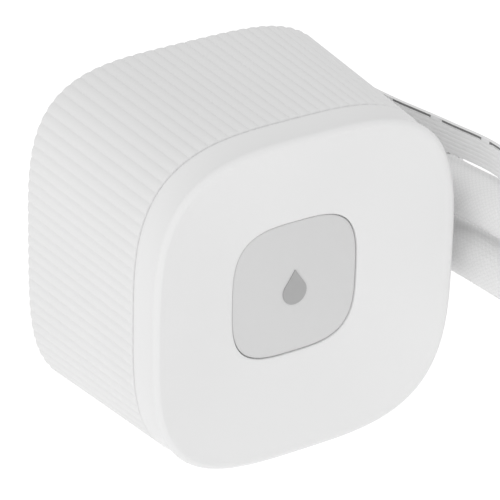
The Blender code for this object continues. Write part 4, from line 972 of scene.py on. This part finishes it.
def make_elbow(side, height):
    """A swept bend from the side port to the hose, with a flange and a collar."""
    bm = bmesh.new()
    path = [(29.0 * MM, -PORT_DEPTH)]
    centre = (HOSE_X - ELBOW_BEND, -PORT_DEPTH - ELBOW_BEND)
    path += rounded_corner(centre, ELBOW_BEND, 90, 0, 12)
    path.append((HOSE_X, -HOSE_START + 1.6 * MM))
    loops = []
    for index, (x, y) in enumerate(path):
        before = path[max(index - 1, 0)]
        after = path[min(index + 1, len(path) - 1)]
        along = Vector((after[0] - before[0], after[1] - before[1], 0)).normalized()
        across = along.cross(Vector((0, 0, 1)))
        ring = []
        for i in range(48):
            turn = 2 * math.pi * i / 48
            offset = across * ELBOW_RADIUS * math.cos(turn) + Vector((0, 0, ELBOW_RADIUS * math.sin(turn)))
            ring.append(bm.verts.new(Vector((x, y, height)) + offset))
        loops.append(ring)
    cap_loops(bm, loops)
    port = Vector((28.3 * MM, -PORT_DEPTH, height))
    round_ring(bm, port, (1, 0, 0), 5.9 * MM, 1.6 * MM)
    round_ring(bm, (HOSE_X, -HOSE_START + 4.6 * MM, height), (0, -1, 0), 5.55 * MM, 3.1 * MM)
    spigot = [(2.5 * MM, 0.0), (3.3 * MM, 0.0), (3.6 * MM, 0.5 * MM), (3.6 * MM, 8.6 * MM),
              (2.5 * MM, 8.6 * MM)]
    turned_piece(bm, port - Vector((8.5 * MM, 0, 0)), (1, 0, 0), spigot, 40)
    elbow = from_bmesh(side + "_bend", bm, [GLASS_FILLED], 35.0)
    stand_in(elbow, "base", "black_plastic", side + "_elbow")


# ---- screws, by geometry nodes ----
def make_scatter_tree():
    """Copies of one shape on the points of a mesh."""
    tree, given, out = new_group("set_of_copies", "GeometryNodeTree", [
        ("Places", "NodeSocketObject", None), ("Shape", "NodeSocketObject", None),
        ("Material", "NodeSocketMaterial", None)], [("Geometry", "NodeSocketGeometry")])
    places = geometry_of(tree, given["Places"])
    shape = geometry_of(tree, given["Shape"])
    copies = put(tree, "GeometryNodeInstanceOnPoints", {"Points": places, "Instance": shape})
    real = put(tree, "GeometryNodeRealizeInstances", {0: copies.outputs[0]})
    coat(tree, real, given, out)
    return tree


SCATTER_TREE = make_scatter_tree()


def scatter(name, places, shape_bm, mat, smooth_angle=35.0):
    """One shape set down at every place, as a single piece."""
    bmesh.ops.recalc_face_normals(shape_bm, faces=shape_bm.faces)
    mesh = mesh_of(name + "_shape", shape_bm)
    spots = bpy.data.meshes.new(name + "_places")
    spots.from_pydata([tuple(place) for place in places], [], [])
    helpers = [link_in("shape", mesh), link_in("places", spots)]
    return run_tree(name, SCATTER_TREE, {"Places": helpers[1], "Shape": helpers[0], "Material": mat}, [mat],
                    smooth_angle, helpers)


THREAD_PITCH = 0.35 * MM


def socket_screw(out, head_radius, head_height, shank_radius, shank_length):
    """A button-head screw with a six-lobed socket; its seat is at the origin."""
    bm = bmesh.new()
    turn = axes_along(out)
    rows = [(shank_radius * 0.5, -shank_length, 0), (shank_radius, -shank_length + 0.4 * MM, 0)]
    core = shank_radius * 0.84
    for k in range(int((shank_length - 1.2 * MM) / THREAD_PITCH)):
        height = -shank_length + 0.6 * MM + k * THREAD_PITCH
        rows += [(shank_radius, height, 0), (core, height + THREAD_PITCH / 2, 0)]
    rows += [(core, 0.0, 0), (head_radius, 0.0, 0), (head_radius, head_height * 0.45, 0)]
    for step in range(1, 5):
        lean = math.radians(90 * step / 4)
        rows.append((head_radius * (0.62 + 0.38 * math.cos(lean)),
                     head_height * (0.45 + 0.55 * math.sin(lean)), 0))
    rows += [(head_radius * 0.50, head_height, 1), (head_radius * 0.46, head_height * 0.35, 1)]
    loops = []
    for radius, height, lobed in rows:
        def reach(angle, radius=radius, lobed=lobed):
            return radius * (1 + 0.13 * lobed * math.cos(6 * angle))
        loops.append(lay_ring(bm, (0, 0, 0), turn, reach, height, 48))
    cap_loops(bm, loops)
    return bm


def make_screws():
    """Every screw set, each on the seats that the solids have."""
    four, two = "1234", ("upper", "lower")
    sets = [("frame_screw", four, (0, -1, 0), 2.3, 1.3, 1.05),
            ("plate_screw", four, (0, 1, 0), 2.3, 1.3, 1.1),
            ("housing_screw", four, (0, -1, 0), 2.2, 1.7, 1.1),
            ("board_screw", two, (0, -1, 0), 2.0, 1.2, 0.9),
            ("clamp_screw", two, (1, 0, 0), 1.8, 1.2, 0.8)]
    for stem, marks, out, head_radius, head_height, shank_radius in sets:
        nodes = [f"{stem}_{mark}" for mark in marks]
        seats = []
        for node in nodes:
            low, high = (Vector(corner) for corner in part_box(node))
            middle = (low + high) / 2
            facing = Vector(out)
            reach = (high - low).dot(Vector([abs(value) for value in out]))
            seats.append(middle + facing * (reach / 2 - head_height * MM))
            length = reach - head_height * MM
        shape = socket_screw(out, head_radius * MM, head_height * MM, shank_radius * MM, length)
        screws = scatter(stem + "s", seats, shape, STEEL)
        stand_in(screws, "base", "steel", *nodes)


# ---- carried-over nodes ----
NODE_FINISHES = (
    (NICKEL, "cap_magnet_left cap_magnet_right frame_magnet_left frame_magnet_right board_capacitor"),
    (GLASS_FILLED, "inner_frame rear_cover lower_housing upper_housing impeller controller_chip"),
    (RUBBER, "plate_gasket jet_plate chamber_seal supply_elbow_seal return_elbow_seal"),
    (INSULATOR_WHITE, "stator_bobbin board_header"), (FERRULE_WHITE, "lead_guide lead_plug"),
    (COPPER, "cold_plate"), (MAGNET, "rotor_magnet"), (GRAPHITE, "rotor_bearing"), (CERAMIC, "rotor_shaft"),
    (CORE_STEEL, "stator_core"), (ENAMEL_WIRE, "stator_winding"), (BOARD_GREEN, "motor_board"),
    (STEEL, "port_clamp"))


def dress_nodes():
    """Give every carried-over solid its finish."""
    for mat, names in NODE_FINISHES:
        for name in names.split():
            obj = bpy.data.objects[name]
            if not obj.material_slots:
                obj.data.materials.append(mat)
            for slot in obj.material_slots:
                slot.material = mat


# ---- stage ----
FLOOR_SIZE = 6.0
FLOOR_DROP = 0.05 * MM      # keeps the floor clear of what stands on it
FLOOR_GLOW = 0.86
SKY_STRENGTH = 0.74
KEY_PLACE, KEY_TARGET, KEY_SIZE, KEY_POWER = (-0.90, -0.87, 1.34), (0, -0.04, 0), 0.7, 5.8


def make_stage():
    """A pale floor that gives off light of its own."""
    bm = bmesh.new()
    bmesh.ops.create_grid(bm, x_segments=1, y_segments=1, size=FLOOR_SIZE,
                          matrix=Matrix.Translation((0, 0, FLOOR_Z - FLOOR_DROP)))
    mesh = mesh_of("floor", bm)
    mat = bpy.data.materials.new("pale_floor")
    mat.use_nodes = True
    shader = mat.node_tree.nodes["Principled BSDF"]
    for label, value in (("Base Color", grey(0.30)), ("Roughness", 0.9), ("Specular IOR Level", 0.1),
                         ("Emission Color", grey(1.0)), ("Emission Strength", FLOOR_GLOW)):
        shader.inputs[label].default_value = value
    mesh.materials.append(mat)
    floor = link_in("floor", mesh)


def light_stage():
    """A bright even sky and one soft lamp from the upper left."""
    world = bpy.data.worlds.new("soft_sky")
    world.use_nodes = True
    sky = world.node_tree.nodes["Background"]
    sky.inputs["Color"].default_value = grey(1.0)
    sky.inputs["Strength"].default_value = SKY_STRENGTH
    bpy.context.scene.world = world
    bpy.context.scene.view_settings.view_transform = "Standard"
    data = bpy.data.lights.new("key", "AREA")
    data.shape = "SQUARE"
    data.size = KEY_SIZE
    data.energy = KEY_POWER
    lamp = link_in("key", data)
    lamp.location = KEY_PLACE
    lamp.rotation_euler = (Vector(KEY_TARGET) - Vector(KEY_PLACE)).to_track_quat("-Z", "Y").to_euler()


aim_camera()
make_hoses()
make_lead()
make_housing()
make_cap()
make_badge()
for side, height in (("supply", -HOSE_OFFSET), ("return", HOSE_OFFSET)):
    make_elbow(side, height)
make_screws()
dress_nodes()
make_stage()
light_stage()
